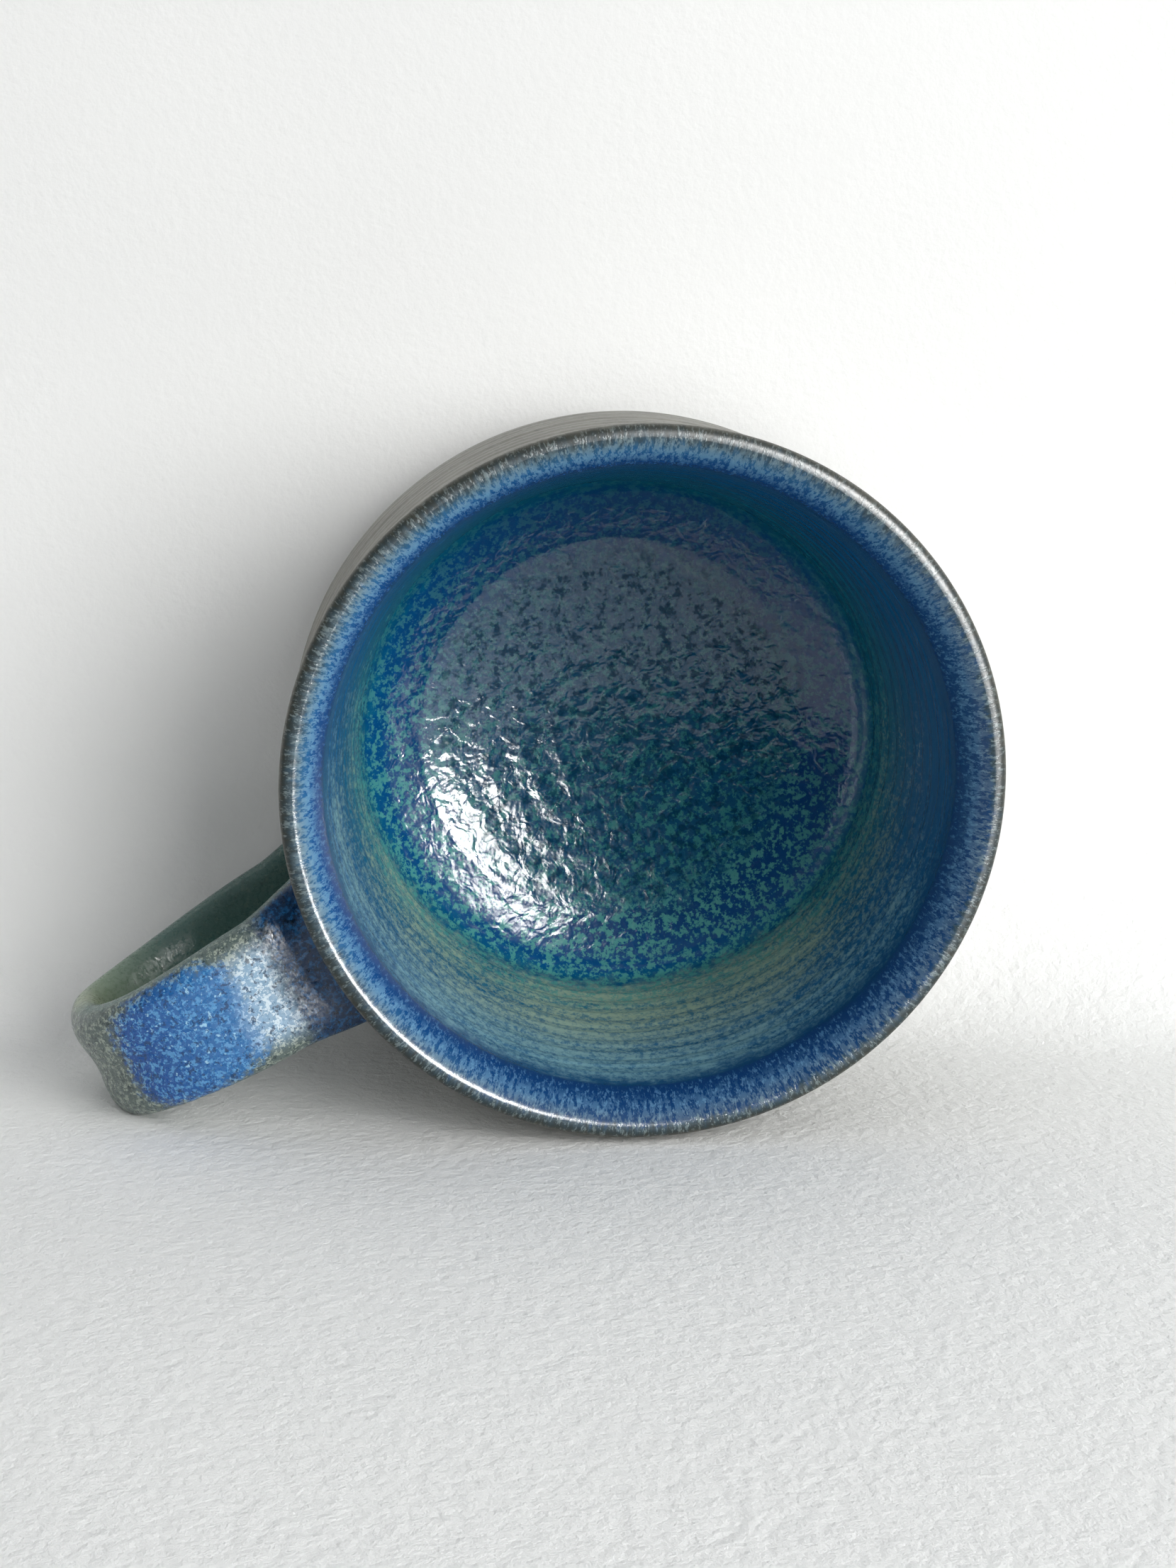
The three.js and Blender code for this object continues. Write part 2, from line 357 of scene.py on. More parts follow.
def room():
    """The world round the mug, as light from every way."""
    made = bpy.data.worlds.new("room")
    made.use_nodes = True
    tree = made.node_tree
    way = node(tree, "ShaderNodeTexCoord").outputs["Generated"]
    height = node(tree, "ShaderNodeSeparateXYZ", {0: way}).outputs[2]
    light = step(tree, height, 0.25, 0.85, ROOM_LIGHT, ROOM_DARK)
    facing = node(tree, "ShaderNodeVectorMath", {0: way, 1: SIDEWAYS}, operation="DOT_PRODUCT")
    to_window = facing.outputs["Value"]
    light = times(tree, light, step(tree, to_window, -0.6, 0.1, ROOM_SHADE, 1.0))
    background = tree.nodes["Background"]
    background.inputs[0].default_value = (0.94, 0.97, 1.0, 1.0)
    tree.links.new(light, background.inputs[1])
    return made


SOFT_LAMPS = [  # name, way, side in metres, power in watts, tint
    ("daylight", WINDOW_WAY, 0.6, 6.9, (1.0, 0.99, 0.97)),
    ("side_light", (0.80, 0.20, 0.56), 0.5, 1.35, (1.0, 1.0, 0.99)),
    ("fill", (-0.50, 0.30, 0.81), 1.4, 2.7, (0.98, 0.99, 1.0)),
]
for name, way, side, power, tint in SOFT_LAMPS:
    window(name, *way, side, side, power, tint).visible_glossy = False
shine = window("shine", *WINDOW_WAY, 0.27, 0.52, power=62.0, tint=(1.0, 1.0, 0.98), lean=-0.5)
shine.visible_diffuse = False
bpy.context.scene.world = room()
bpy.context.scene.view_settings.view_transform = "Standard"

# %% [markdown]
# ## The line of the cup
#
# A thrown pot is a line turned round an axis. The line runs from the glaze line above the foot, up
# the belly, in at the waist, out to the lip, over its crest, down the slanted inner face of the lip
# and the wall, and across a dished floor. Each stretch is one curve between two named places.

# %% Profile of the glazed surface
RIM_RADIUS = BELLY_RADIUS - 0.3 * MM
CREST_RADIUS = RIM_RADIUS - 1.7 * MM
EDGE_HEIGHT = HEIGHT - 1.8 * MM  # where the lip starts to round over
WAIST_RADIUS = RIM_RADIUS - 1.7 * MM
WAIST_HEIGHT = HEIGHT - 20 * MM
BELLY_HEIGHT = 14.5 * MM
MOUTH_RADIUS = RIM_RADIUS - 5.6 * MM
MOUTH_HEIGHT = HEIGHT - 6.4 * MM
WALL_FOOT_RADIUS = BELLY_RADIUS - 10 * MM
WALL_FOOT_HEIGHT = FLOOR_HEIGHT + 10.6 * MM
BEVEL_RADIUS = BELLY_RADIUS - 8.8 * MM
FOOT_RADIUS = BEVEL_RADIUS - GLAZE_LINE
DISH_RADIUS = 29.2 * MM
CORNER_SLOPE = 0.56  # the wall starts at once, from the edge of the dish
DISH_RISE = 4.4 * MM
DISH_LOW = FLOOR_HEIGHT - 1.0 * MM
BILGE_TUCK = 3.8 * MM  # how hard the belly turns in above the foot
LIP_ROUND = 1.8 * MM
CREST_LEAD = 1.3 * MM  # the next three shape the fall from the crest to the mouth
MOUTH_LEAD = 0.7 * MM
LIP_FALL = 3.2 * MM
CORNER_DROP = 3.4 * MM  # and these two the corner between wall and floor
CORNER_RUN = 3.6 * MM


def curve(*points, count=400):
    """A quadratic or cubic curve through its first and last points."""
    t = np.linspace(0, 1, count)[:, None]
    degree = len(points) - 1
    return sum(
        math.comb(degree, i) * (1 - t) ** (degree - i) * t**i * np.array(point)
        for i, point in enumerate(points)
    )


def cup_line():
    drawn = (WAIST_HEIGHT - BELLY_HEIGHT) / 3
    flare = (EDGE_HEIGHT - WAIST_HEIGHT) / 2
    taper = (MOUTH_RADIUS - WALL_FOOT_RADIUS) / 3
    third = (MOUTH_HEIGHT - WALL_FOOT_HEIGHT) / 3
    dish = (DISH_RADIUS, DISH_LOW + DISH_RISE)
    outside = [
        curve(
            (BEVEL_RADIUS, GLAZE_LINE),
            (BELLY_RADIUS - BILGE_TUCK, 2 * GLAZE_LINE),
            (BELLY_RADIUS, 0.6 * BELLY_HEIGHT),
            (BELLY_RADIUS, BELLY_HEIGHT),
        ),
        curve(
            (BELLY_RADIUS, BELLY_HEIGHT),
            (BELLY_RADIUS, BELLY_HEIGHT + drawn),
            (WAIST_RADIUS, WAIST_HEIGHT - drawn),
            (WAIST_RADIUS, WAIST_HEIGHT),
        ),
        curve(
            (WAIST_RADIUS, WAIST_HEIGHT),
            (WAIST_RADIUS, WAIST_HEIGHT + flare),
            (RIM_RADIUS, EDGE_HEIGHT - LIP_ROUND),
            (RIM_RADIUS, EDGE_HEIGHT),
        ),
        curve((RIM_RADIUS, EDGE_HEIGHT), (RIM_RADIUS, HEIGHT), (CREST_RADIUS, HEIGHT)),
    ]
    inside = [
        curve(
            (CREST_RADIUS, HEIGHT),
            (CREST_RADIUS - CREST_LEAD, HEIGHT),
            (MOUTH_RADIUS + MOUTH_LEAD, HEIGHT - LIP_FALL),
            (MOUTH_RADIUS, MOUTH_HEIGHT),
        ),
        curve(
            (MOUTH_RADIUS, MOUTH_HEIGHT),
            (MOUTH_RADIUS - taper / 2, MOUTH_HEIGHT - third),
            (WALL_FOOT_RADIUS + taper, WALL_FOOT_HEIGHT + third),
            (WALL_FOOT_RADIUS, WALL_FOOT_HEIGHT),
        ),
        curve(
            (WALL_FOOT_RADIUS, WALL_FOOT_HEIGHT),
            (WALL_FOOT_RADIUS - taper / 2, WALL_FOOT_HEIGHT - CORNER_DROP),
            (DISH_RADIUS + CORNER_RUN, dish[1] + CORNER_RUN * CORNER_SLOPE),
            dish,
        ),
        curve(dish, (DISH_RADIUS / 2, DISH_LOW), (0, DISH_LOW)),
    ]
    return np.vstack(outside), np.vstack(inside)


def lengths_along(line):
    return np.concatenate([[0], np.cumsum(np.hypot(*np.diff(line, axis=0).T))])


outside_line, inside_line = cup_line()
OUTSIDE_LENGTH = lengths_along(outside_line)[-1]
INSIDE_LENGTH = lengths_along(inside_line)[-1]
skin_line = np.vstack([outside_line, inside_line[1:]])
skin_way = lengths_along(skin_line) - OUTSIDE_LENGTH  # 0 on the crest, more inside, less outside
print(f"outside {OUTSIDE_LENGTH / MM:.1f} mm, inside {INSIDE_LENGTH / MM:.1f} mm from the crest")


def skin_place(way):
    """Radius, height, and the outward normal of the profile at a distance from the crest."""
    radius = np.interp(way, skin_way, skin_line[:, 0])
    height = np.interp(way, skin_way, skin_line[:, 1])
    near = 0.05 * MM
    dr, dz = (
        np.interp(way + near, skin_way, skin_line[:, i]) - np.interp(way - near, skin_way, skin_line[:, i])
        for i in (0, 1)
    )
    length = np.maximum(np.hypot(dr, dz), 1e-12)
    return radius, height, dz / length, -dr / length


# %% [markdown]
# ## What the hand does to the round
#
# The cup is not quite round, because lifting it off the wheel and pulling on the handle leave it
# slightly oval, and its lip is not quite level. The dish of the floor was pressed with a fingertip,
# so its edge wanders a little.

# %% The thrown surface
OVAL = 0.006
LIP_WAVE = 0.22 * MM
DISH_WANDER = 0.45 * MM
DISH_EDGE = (50 * MM, 56 * MM)  # the wandering comes in over this stretch, down from the crest
DISH_MIDDLE = 12 * MM  # and goes out over this much in the middle of the floor


def cup_surface(way, turn, depth=0.0):
    """Places on the cup, at a distance from the crest and an angle, sunk by a depth; and its normals."""
    on_floor = smooth(way, *DISH_EDGE) * smooth(way, INSIDE_LENGTH, INSIDE_LENGTH - DISH_MIDDLE)
    wander = np.sin(3 * turn + 0.9) + 0.7 * np.sin(5 * turn + 2.6) + 0.5 * np.sin(8 * turn + 0.2)
    radius, height, out_r, out_z = skin_place(way + DISH_WANDER * wander * on_floor)
    radius = np.maximum(radius - out_r * depth, 0)
    height = height - out_z * depth
    level = smooth(height, 0.5 * HEIGHT, HEIGHT)
    height = height + level * LIP_WAVE * (np.sin(2 * turn + 0.6) + 0.5 * np.sin(3 * turn + 2.0))
    radius = radius * (1 + OVAL * np.cos(2 * turn))
    places = np.stack([radius * np.cos(turn), radius * np.sin(turn), height], axis=-1)
    return places, np.stack([out_r * np.cos(turn), out_r * np.sin(turn), out_z + 0 * turn], axis=-1)


print(f"the oval takes {OVAL * RIM_RADIUS / MM:.2f} mm off or on at the lip")

# %% [markdown]
# ## Turning lines into meshes
#
# A grid of points, rows along the cup and columns round it, becomes faces by joining neighbours. The
# columns close on themselves, so there is no seam, and a row that shrinks to a point becomes a fan.
# The number triple `wheel` is kept at each point: where it is round the wheel, and how far from the
# crest. Streaks and ridges that follow the wheel need it.

# %% Mesh helpers
TURNS = 300
TURN = np.linspace(0, 2 * np.pi, TURNS, endpoint=False)


def grid_faces(rows, columns):
    """Quads between the rows of a grid whose columns close on themselves."""
    r, c = np.meshgrid(np.arange(rows - 1), np.arange(columns), indexing="ij")
    after = (c + 1) % columns
    quads = [r * columns + c, r * columns + after, (r + 1) * columns + after, (r + 1) * columns + c]
    return np.stack(quads, -1).reshape(-1, 4).tolist()


def closed_rings(rows):
    """Points and faces of rings that close into a tube with a hollow middle, as a torus does."""
    points = np.concatenate(rows)
    columns = len(rows[0])
    faces = grid_faces(len(rows), columns)
    last = (len(rows) - 1) * columns
    faces += [(last + i, last + (i + 1) % columns, (i + 1) % columns, i) for i in range(columns)]
    return points, faces


def mesh_of(name, points, faces, marks=None):
    """A smooth mesh, with a triple of numbers kept at each point for each mark."""
    mesh = bpy.data.meshes.new(name)
    mesh.from_pydata(points.tolist(), [], faces)
    mesh.update()
    mesh.shade_smooth()
    for label, values in (marks or {}).items():
        layer = mesh.attributes.new(label, "FLOAT_VECTOR", "POINT")
        layer.data.foreach_set("vector", values.astype(np.float32).ravel())
    return mesh


def piece(mesh, surface, stands_for):
    """One finished piece: its mesh, its material, and its place in the frame."""
    mesh.materials.clear()
    mesh.materials.append(surface)
    made = bpy.data.objects.new(mesh.name, mesh)
    bpy.context.scene.collection.objects.link(made)
    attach(made, "root")
    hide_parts(stands_for)
    print(f"{made.name}: {len(mesh.polygons)} faces")
    return made


print(f"{TURNS} columns round the cup")

# %% [markdown]
# ## The marks of throwing
#
# The potter's fingertips leave a shallow spiral: about one ridge every four millimetres inside, and
# finer lines outside, where a rib smoothed the wall. The pressure wavers, so the spiral does too.
# This is a rule, so Geometry Nodes lay it on: the smooth turned surface goes in with its `wheel`
# and `outward` numbers, and each point comes out pushed in or out along the surface's own normal.
# The clay and both coats of glaze go through the same rule, and so stay a coat's thickness apart.


# %% The rule for ridges
def named_attribute(tree, name):
    made = node(tree, "GeometryNodeInputNamedAttribute", {"Name": name}, data_type="FLOAT_VECTOR")
    return next(socket for socket in made.outputs if socket.enabled and socket.name == "Attribute")


def wave(tree, way, pitch, shift):
    """A sine along the wall, one wave for each pitch."""
    phase = times(tree, maths(tree, "DIVIDE", way, pitch), math.tau)
    return maths(tree, "SINE", plus(tree, phase, shift))


WALL_ZONE = ((8 * MM, 16 * MM), (46 * MM, 52 * MM))  # ridges fade in over the first, out over the second
FLOOR_ZONE = ((56 * MM, 62 * MM), (INSIDE_LENGTH - 6 * MM, INSIDE_LENGTH))
RIB_ZONE = ((4 * MM - OUTSIDE_LENGTH, 12 * MM - OUTSIDE_LENGTH), (-9 * MM, -3 * MM))
NAIL_PITCH, NAIL_DEPTH = 0.4, 0.4  # fingernails leave finer lines, as shares of the fingers'
WIDE_RIB = 2.6


def zone(tree, way, rise, fall):
    """1 over a stretch of the wall, and 0 elsewhere."""
    return times(tree, step(tree, way, *rise), step(tree, way, *fall, 1.0, 0.0))


def throwing_marks():
    """Geometry in, ridged geometry out, with the pitch and depth of each kind of ridge as inputs."""
    tree = bpy.data.node_groups.new("Throwing marks", "GeometryNodeTree")
    tree.interface.new_socket("Geometry", in_out="INPUT", socket_type="NodeSocketGeometry")
    sizes = [f"{kind} {size}" for kind in ("Finger", "Floor", "Rib") for size in ("pitch", "depth")]
    for label in (*sizes, "Waver"):
        tree.interface.new_socket(label, in_out="INPUT", socket_type="NodeSocketFloat")
    tree.interface.new_socket("Seed", in_out="INPUT", socket_type="NodeSocketInt")
    tree.interface.new_socket("Surface", in_out="INPUT", socket_type="NodeSocketMaterial")
    tree.interface.new_socket("Geometry", in_out="OUTPUT", socket_type="NodeSocketGeometry")
    given = tree.nodes.new("NodeGroupInput").outputs
    wheel = named_attribute(tree, "wheel")
    x, y, way = node(tree, "ShaderNodeSeparateXYZ", {0: wheel}).outputs
    turn = maths(tree, "ARCTAN2", y, x)
    inputs = {"Vector": wheel, "W": given["Seed"], "Scale": 22.0, "Detail": 2.0}
    unsteady = node(tree, "ShaderNodeTexNoise", inputs, noise_dimensions="4D").outputs[0]
    waver = times(tree, minus(tree, unsteady, 0.5), given["Waver"])
    spiral = plus(tree, turn, waver)
    fingers = wave(tree, way, given["Finger pitch"], spiral)
    nails = wave(tree, way, times(tree, given["Finger pitch"], NAIL_PITCH), times(tree, spiral, 3.0))
    fingers = plus(tree, fingers, times(tree, nails, NAIL_DEPTH))
    pressed = wave(tree, way, given["Floor pitch"], spiral)
    wide = wave(tree, way, times(tree, given["Rib pitch"], WIDE_RIB), spiral)
    ribs = plus(tree, wave(tree, way, given["Rib pitch"], spiral), wide)
    height = 0.0
    for kind, marks, reach in (
        ("Finger", fingers, WALL_ZONE),
        ("Floor", pressed, FLOOR_ZONE),
        ("Rib", ribs, RIB_ZONE),
    ):
        height = plus(tree, height, times(tree, marks, zone(tree, way, *reach), given[f"{kind} depth"]))
    inputs = {0: named_attribute(tree, "outward"), "Scale": height}
    offset = node(tree, "ShaderNodeVectorMath", inputs, operation="SCALE").outputs[0]
    inputs = {"Geometry": given["Geometry"], "Offset": offset}
    moved = node(tree, "GeometryNodeSetPosition", inputs).outputs[0]
    bare = node(tree, "GeometryNodeRemoveAttribute", {"Geometry": moved, "Name": "outward"}).outputs[0]
    real = node(tree, "GeometryNodeRealizeInstances", {"Geometry": bare}).outputs[0]
    inputs = {"Geometry": real, "Material": given["Surface"]}
    set_material = node(tree, "GeometryNodeSetMaterial", inputs)
    output = tree.nodes.new("NodeGroupOutput")
    tree.links.new(set_material.outputs[0], output.inputs[0])
    return tree


RIDGES = {
    "Finger pitch": 3.7 * MM,
    "Finger depth": 0.085 * MM,
    "Floor pitch": 5.2 * MM,
    "Floor depth": 0.04 * MM,
    "Rib pitch": 2.3 * MM,
    "Rib depth": 0.045 * MM,
    "Waver": 9.0,
    "Seed": 7,
}
throwing = throwing_marks()


def thrown(mesh, surface):
    """The mesh after the rule, as a plain mesh with its material."""
    body = bpy.data.objects.new(mesh.name, mesh)
    bpy.context.scene.collection.objects.link(body)
    modifier = body.modifiers.new("Throwing marks", "NODES")
    modifier.node_group = throwing
    values = {**RIDGES, "Surface": surface}
    for item in throwing.interface.items_tree:
        if item.in_out == "INPUT" and item.name in values:
            modifier[item.identifier] = values[item.name]
    seen = bpy.context.evaluated_depsgraph_get()
    made = bpy.data.meshes.new_from_object(body.evaluated_get(seen), depsgraph=seen)
    body.modifiers.remove(modifier)
    name = mesh.name
    bpy.data.objects.remove(body)
    bpy.data.meshes.remove(mesh)
    made.name = name
    made.shade_smooth()
    return made


print("rule:", throwing.name, "with inputs", ", ".join(RIDGES))

# %% [markdown]
# ## Effects that several finishes share
#
# Each effect is a small node group with named inputs, built once. A glaze like this one is cooked
# glass full of tiny crystals: they show as pale specks, drawn out where the melt ran. The glaze goes
# dark and thin where it breaks over an edge, and its gloss has the fine dimples of orange peel.


# %% Node groups
def crystals_group():
    """Pale flecks: a share of the surface, at a fineness per metre, with soft or crisp edges."""
    group, given, result = shader_group(
        "Crystals",
        [
            ("Vector", "Vector", None),
            ("Fineness", "Float", 900.0),
            ("Share", "Float", 0.4),
            ("Softness", "Float", 0.1),
        ],
        [("Mask", "Float")],
    )
    coarse = noise(group, given["Vector"], given["Fineness"], 3.0, 0.62)
    finer = times(group, given["Fineness"], 2.7)
    fine = noise(group, given["Vector"], finer, 2.0, 0.6)
    both = plus(group, times(group, coarse, 0.65), times(group, fine, 0.35))
    level = step(group, given["Share"], 0.0, 1.0, 0.68, 0.32)
    low = minus(group, level, given["Softness"])
    high = plus(group, level, given["Softness"])
    group.links.new(step(group, both, low, high), result.inputs["Mask"])
    return group


def wheel_streaks_group():
    """Fine lines that follow the wheel, drawn out round the cup."""
    group, given, result = shader_group(
        "Streaks round the wheel",
        [("Wheel", "Vector", None), ("Fineness", "Float", 500.0), ("Draw", "Float", 0.1)],
        [("Mask", "Float")],
    )
    x, y, way = node(group, "ShaderNodeSeparateXYZ", {0: given["Wheel"]}).outputs
    inputs = {0: times(group, x, given["Draw"]), 1: times(group, y, given["Draw"]), 2: way}
    drawn = node(group, "ShaderNodeCombineXYZ", inputs).outputs[0]
    group.links.new(noise(group, drawn, given["Fineness"], 4.0, 0.65), result.inputs["Mask"])
    return group


def orange_peel_group():
    """The dimples of a thick, glossy glaze, as a height."""
    group, given, result = shader_group(
        "Orange peel",
        [("Vector", "Vector", None), ("Fineness", "Float", 700.0)],
        [("Height", "Float")],
    )
    wide = noise(group, given["Vector"], given["Fineness"], 2.0, 0.45, 0.6)
    pits = noise(group, given["Vector"], times(group, given["Fineness"], 3.1), 1.0, 0.5)
    both = plus(group, wide, times(group, pits, 0.18))
    group.links.new(both, result.inputs["Height"])
    return group


def iron_spots_group():
    """Small dark spots of iron that the fire draws out of stoneware."""
    group, given, result = shader_group(
        "Iron spots",
        [("Vector", "Vector", None), ("Fineness", "Float", 380.0), ("Reach", "Float", 0.2)],
        [("Mask", "Float")],
    )
    inputs = {"Vector": given["Vector"], "Scale": given["Fineness"], "Randomness": 1.0}
    cells = node(group, "ShaderNodeTexVoronoi", inputs).outputs["Distance"]
    soft = times(group, given["Reach"], 0.5)
    inputs = {"Value": cells, "From Min": soft, "From Max": given["Reach"], "To Min": 1.0, "To Max": 0.0}
    spot = node(group, "ShaderNodeMapRange", inputs).outputs[0]
    rare = noise(group, given["Vector"], times(group, given["Fineness"], 0.4), 1.0)
    kept = step(group, rare, 0.5, 0.58)
    group.links.new(times(group, spot, kept), result.inputs["Mask"])
    return group


crystals = crystals_group()
wheel_streaks = wheel_streaks_group()
orange_peel = orange_peel_group()
iron_spots = iron_spots_group()


def flecks_of(tree, vector, fineness, share, softness):
    """A mask of flecks, from the Crystals group."""
    inputs = {"Vector": vector, "Fineness": fineness, "Share": share, "Softness": softness}
    return use(tree, crystals, inputs)["Mask"]


def streaks_of(tree, wheel, fineness, draw):
    """A mask of streaks, from the group that draws them round the wheel."""
    return use(tree, wheel_streaks, {"Wheel": wheel, "Fineness": fineness, "Draw": draw})["Mask"]


print("node groups:", [g.name for g in bpy.data.node_groups])

# %% [markdown]
# ## Helpers that measure
#
# The glazes change by distance: from the crest of the lip, along the strap, or from the wall. These
# helpers read such a distance from the mesh and turn it into a colour, or a height into a bump.

# %% Measuring helpers
def ramp(tree, value, stops):
    """A colour for each stretch of a distance, in millimetres: (distance, colour) pairs."""
    first, last = stops[0][0], stops[-1][0]
    inputs = {"Value": value, "From Min": first * MM, "From Max": last * MM}
    share = node(tree, "ShaderNodeMapRange", inputs).outputs[0]
    made = node(tree, "ShaderNodeValToRGB", {0: share})
    elements = made.color_ramp.elements
    elements[0].position, elements[1].position = 0.0, 1.0
    for distance, _ in stops[1:-1]:
        elements.new((distance - first) / (last - first))
    for element, (_, tint) in zip(elements, stops):
        element.color = (*tint, 1.0)
    return made.outputs[0]


def step_colour(tree, value, low, high, bottom, top):
    """A smooth change from one colour to another, as value goes from low to high."""
    return blend(tree, step(tree, value, low, high), bottom, top)


def attribute(tree, name):
    return node(tree, "ShaderNodeAttribute", attribute_name=name).outputs["Vector"]


def place_of(tree):
    return node(tree, "ShaderNodeTexCoord").outputs["Object"]


def split(tree, vector):
    return node(tree, "ShaderNodeSeparateXYZ", {0: vector}).outputs


def bump(tree, height, depth, under=None):
    """A bump of a real depth in metres."""
    inputs = {"Height": height, "Strength": 1.0, "Distance": depth}
    if under is not None:
        inputs["Normal"] = under
    return node(tree, "ShaderNodeBump", inputs).outputs[0]


print("measuring helpers ready")

# %% [markdown]
# ## The glaze at the lip
#
# The lip is the mug's best place to see the glaze work. Over the outer edge it is thin and goes
# dark; a millimetre inside, pale crystals gather and are drawn out down the slope; below them the
# melt has pooled thick, and is a clear cobalt blue. On the side that faces away from the window
# the band is painted darker and its pale specks fainter: that is painted shade. Inside and outside
# coats meet on the crest, so both take this stretch from one group, and no line shows between them.


# %% Lip group
LIP_RAGGED, LIP_DRIFT = 3.0 * MM, 1.6 * MM  # how far the bands of the lip wander, finely and slowly
PALE_BAND = (0.6 * MM, 4.8 * MM, 1.6 * MM)  # start, end and softness, from the crest
FEW_BAND = (-2.0 * MM, 7.2 * MM, 1.0 * MM)
SHADED_LIP_BAND = (0.4 * MM, 8 * MM, 0.6 * MM)
SHADED_LIP_SIDE = (-0.3 / RIM_RADIUS, 0.95 / RIM_RADIUS)  # the side of the lip that faces away from the window, darkened as painted shade
SHADED_LIP_REACH = (-0.6, 0.8)


def lip_group():
    group, given, result = shader_group(
        "Glaze over the lip",
        [("Wheel", "Vector", None)],
        [("Colour", "Color"), ("Specks", "Float")],
    )
    wheel = given["Wheel"]
    way = split(group, wheel)[2]
    ragged = noise(group, stretched(group, wheel, 1.0, 1.0, 0.3), 1100.0, 3.0, 0.6)
    slow = noise(group, wheel, 60.0, 1.0)
    shift = times(group, minus(group, ragged, 0.5), LIP_RAGGED)
    drift = times(group, minus(group, slow, 0.5), LIP_DRIFT)
    moved = plus(group, way, shift, drift)
    base = ramp(
        group,
        moved,
        [
            (-12.0, colour(104, 102, 94)),
            (-4.6, colour(108, 106, 99)),
            # a lighter band just below the outer round of the lip: painted sheen
            (-3.4, colour(130, 128, 121)),
            (-2.4, colour(78, 78, 70)),
            (-1.4, colour(48, 52, 48)),
            (-0.6, colour(42, 54, 58)),
            (0.3, colour(42, 66, 80)),
            (1.2, colour(50, 92, 122)),
            (2.4, colour(42, 98, 146)),
            (3.8, colour(14, 74, 136)),
            (5.6, colour(0, 64, 128)),
            (7.0, colour(0, 58, 118)),
            (7.9, colour(0, 58, 100)),
            (12.0, colour(0, 58, 84)),
        ],
    )
    drawn = stretched(group, wheel, 1.0, 1.0, 0.42)
    specks = flecks_of(group, drawn, 1300.0, 0.50, 0.035)
    pale = times(group, specks, band(group, moved, *PALE_BAND), 0.7)
    few = flecks_of(group, drawn, 1800.0, 0.40, 0.045)
    few = times(group, few, band(group, moved, *FEW_BAND), 0.55)
    tints = [
        (-3.0, colour(120, 118, 108)),
        (0.6, colour(126, 148, 154)),
        (3.0, colour(108, 156, 190)),
        (9.0, colour(48, 116, 172)),
    ]
    tint = ramp(group, way, tints)
    # Painted shade: on the side of the lip away from the window, a darker cobalt is laid over the band and
    # the pale specks are made fainter.
    x, y, _ = split(group, wheel)
    side = plus(group, times(group, x, SHADED_LIP_SIDE[0]), times(group, y, SHADED_LIP_SIDE[1]))
    thick = times(group, step(group, side, *SHADED_LIP_REACH, 0.0, 0.85), band(group, moved, *SHADED_LIP_BAND))
    base = blend(group, thick, base, colour(0, 50, 100))
    pale = times(group, pale, step(group, side, *SHADED_LIP_REACH, 1.0, 0.45))
    mixed = blend(group, few, blend(group, pale, base, tint), tint)
    group.links.new(mixed, result.inputs["Colour"])
    group.links.new(maths(group, "MAXIMUM", pale, few), result.inputs["Specks"])
    return group


lip_glaze = lip_group()
print("lip group ready")

# %% [markdown]
# ## The glaze inside
# Down the wall the melt ran and left fine streaks round the wheel, teal with a haze of grey green.
# It gathered in the corner in a cobalt ring, full of blue-green flecks, and lies thick, dark and
# glossy on the floor. The colour drifts from side to side: partly as the pour went round, and partly
# as painted light, for the haze, the corner flecks and the floor's green mottle are stronger on the
# side of the inside that faces the window.


# %% Inside glaze
def gloss(surface, roughness, index=1.5):
    """A glassy surface. A glaze rich in metal bends light more than window glass does."""
    surface.inputs["Roughness"].default_value = roughness
    surface.inputs["IOR"].default_value = index


THIN_SHEEN = 0.5  # where the glaze is thin, over the edge of the lip, it shines half as much


def shifted(tree, value, by, amount):
    """A distance, moved to and fro by a noise."""
    return plus(tree, value, times(tree, minus(tree, by, 0.5), amount))


# The way across the cup to the side that is partly the last of the pour and partly painted light.
POUR_AND_LIGHT_SIDE = (0.6 / RIM_RADIUS, 0.75 / RIM_RADIUS)


def pour_and_light_side(tree, place):
    """-1 to 1 across the cup: high where the glaze was poured in last and where the inside faces the
    window, so partly the pour and partly painted light.
    """
    x, y, _ = split(tree, place)
    return plus(tree, times(tree, x, POUR_AND_LIGHT_SIDE[0]), times(tree, y, POUR_AND_LIGHT_SIDE[1]))


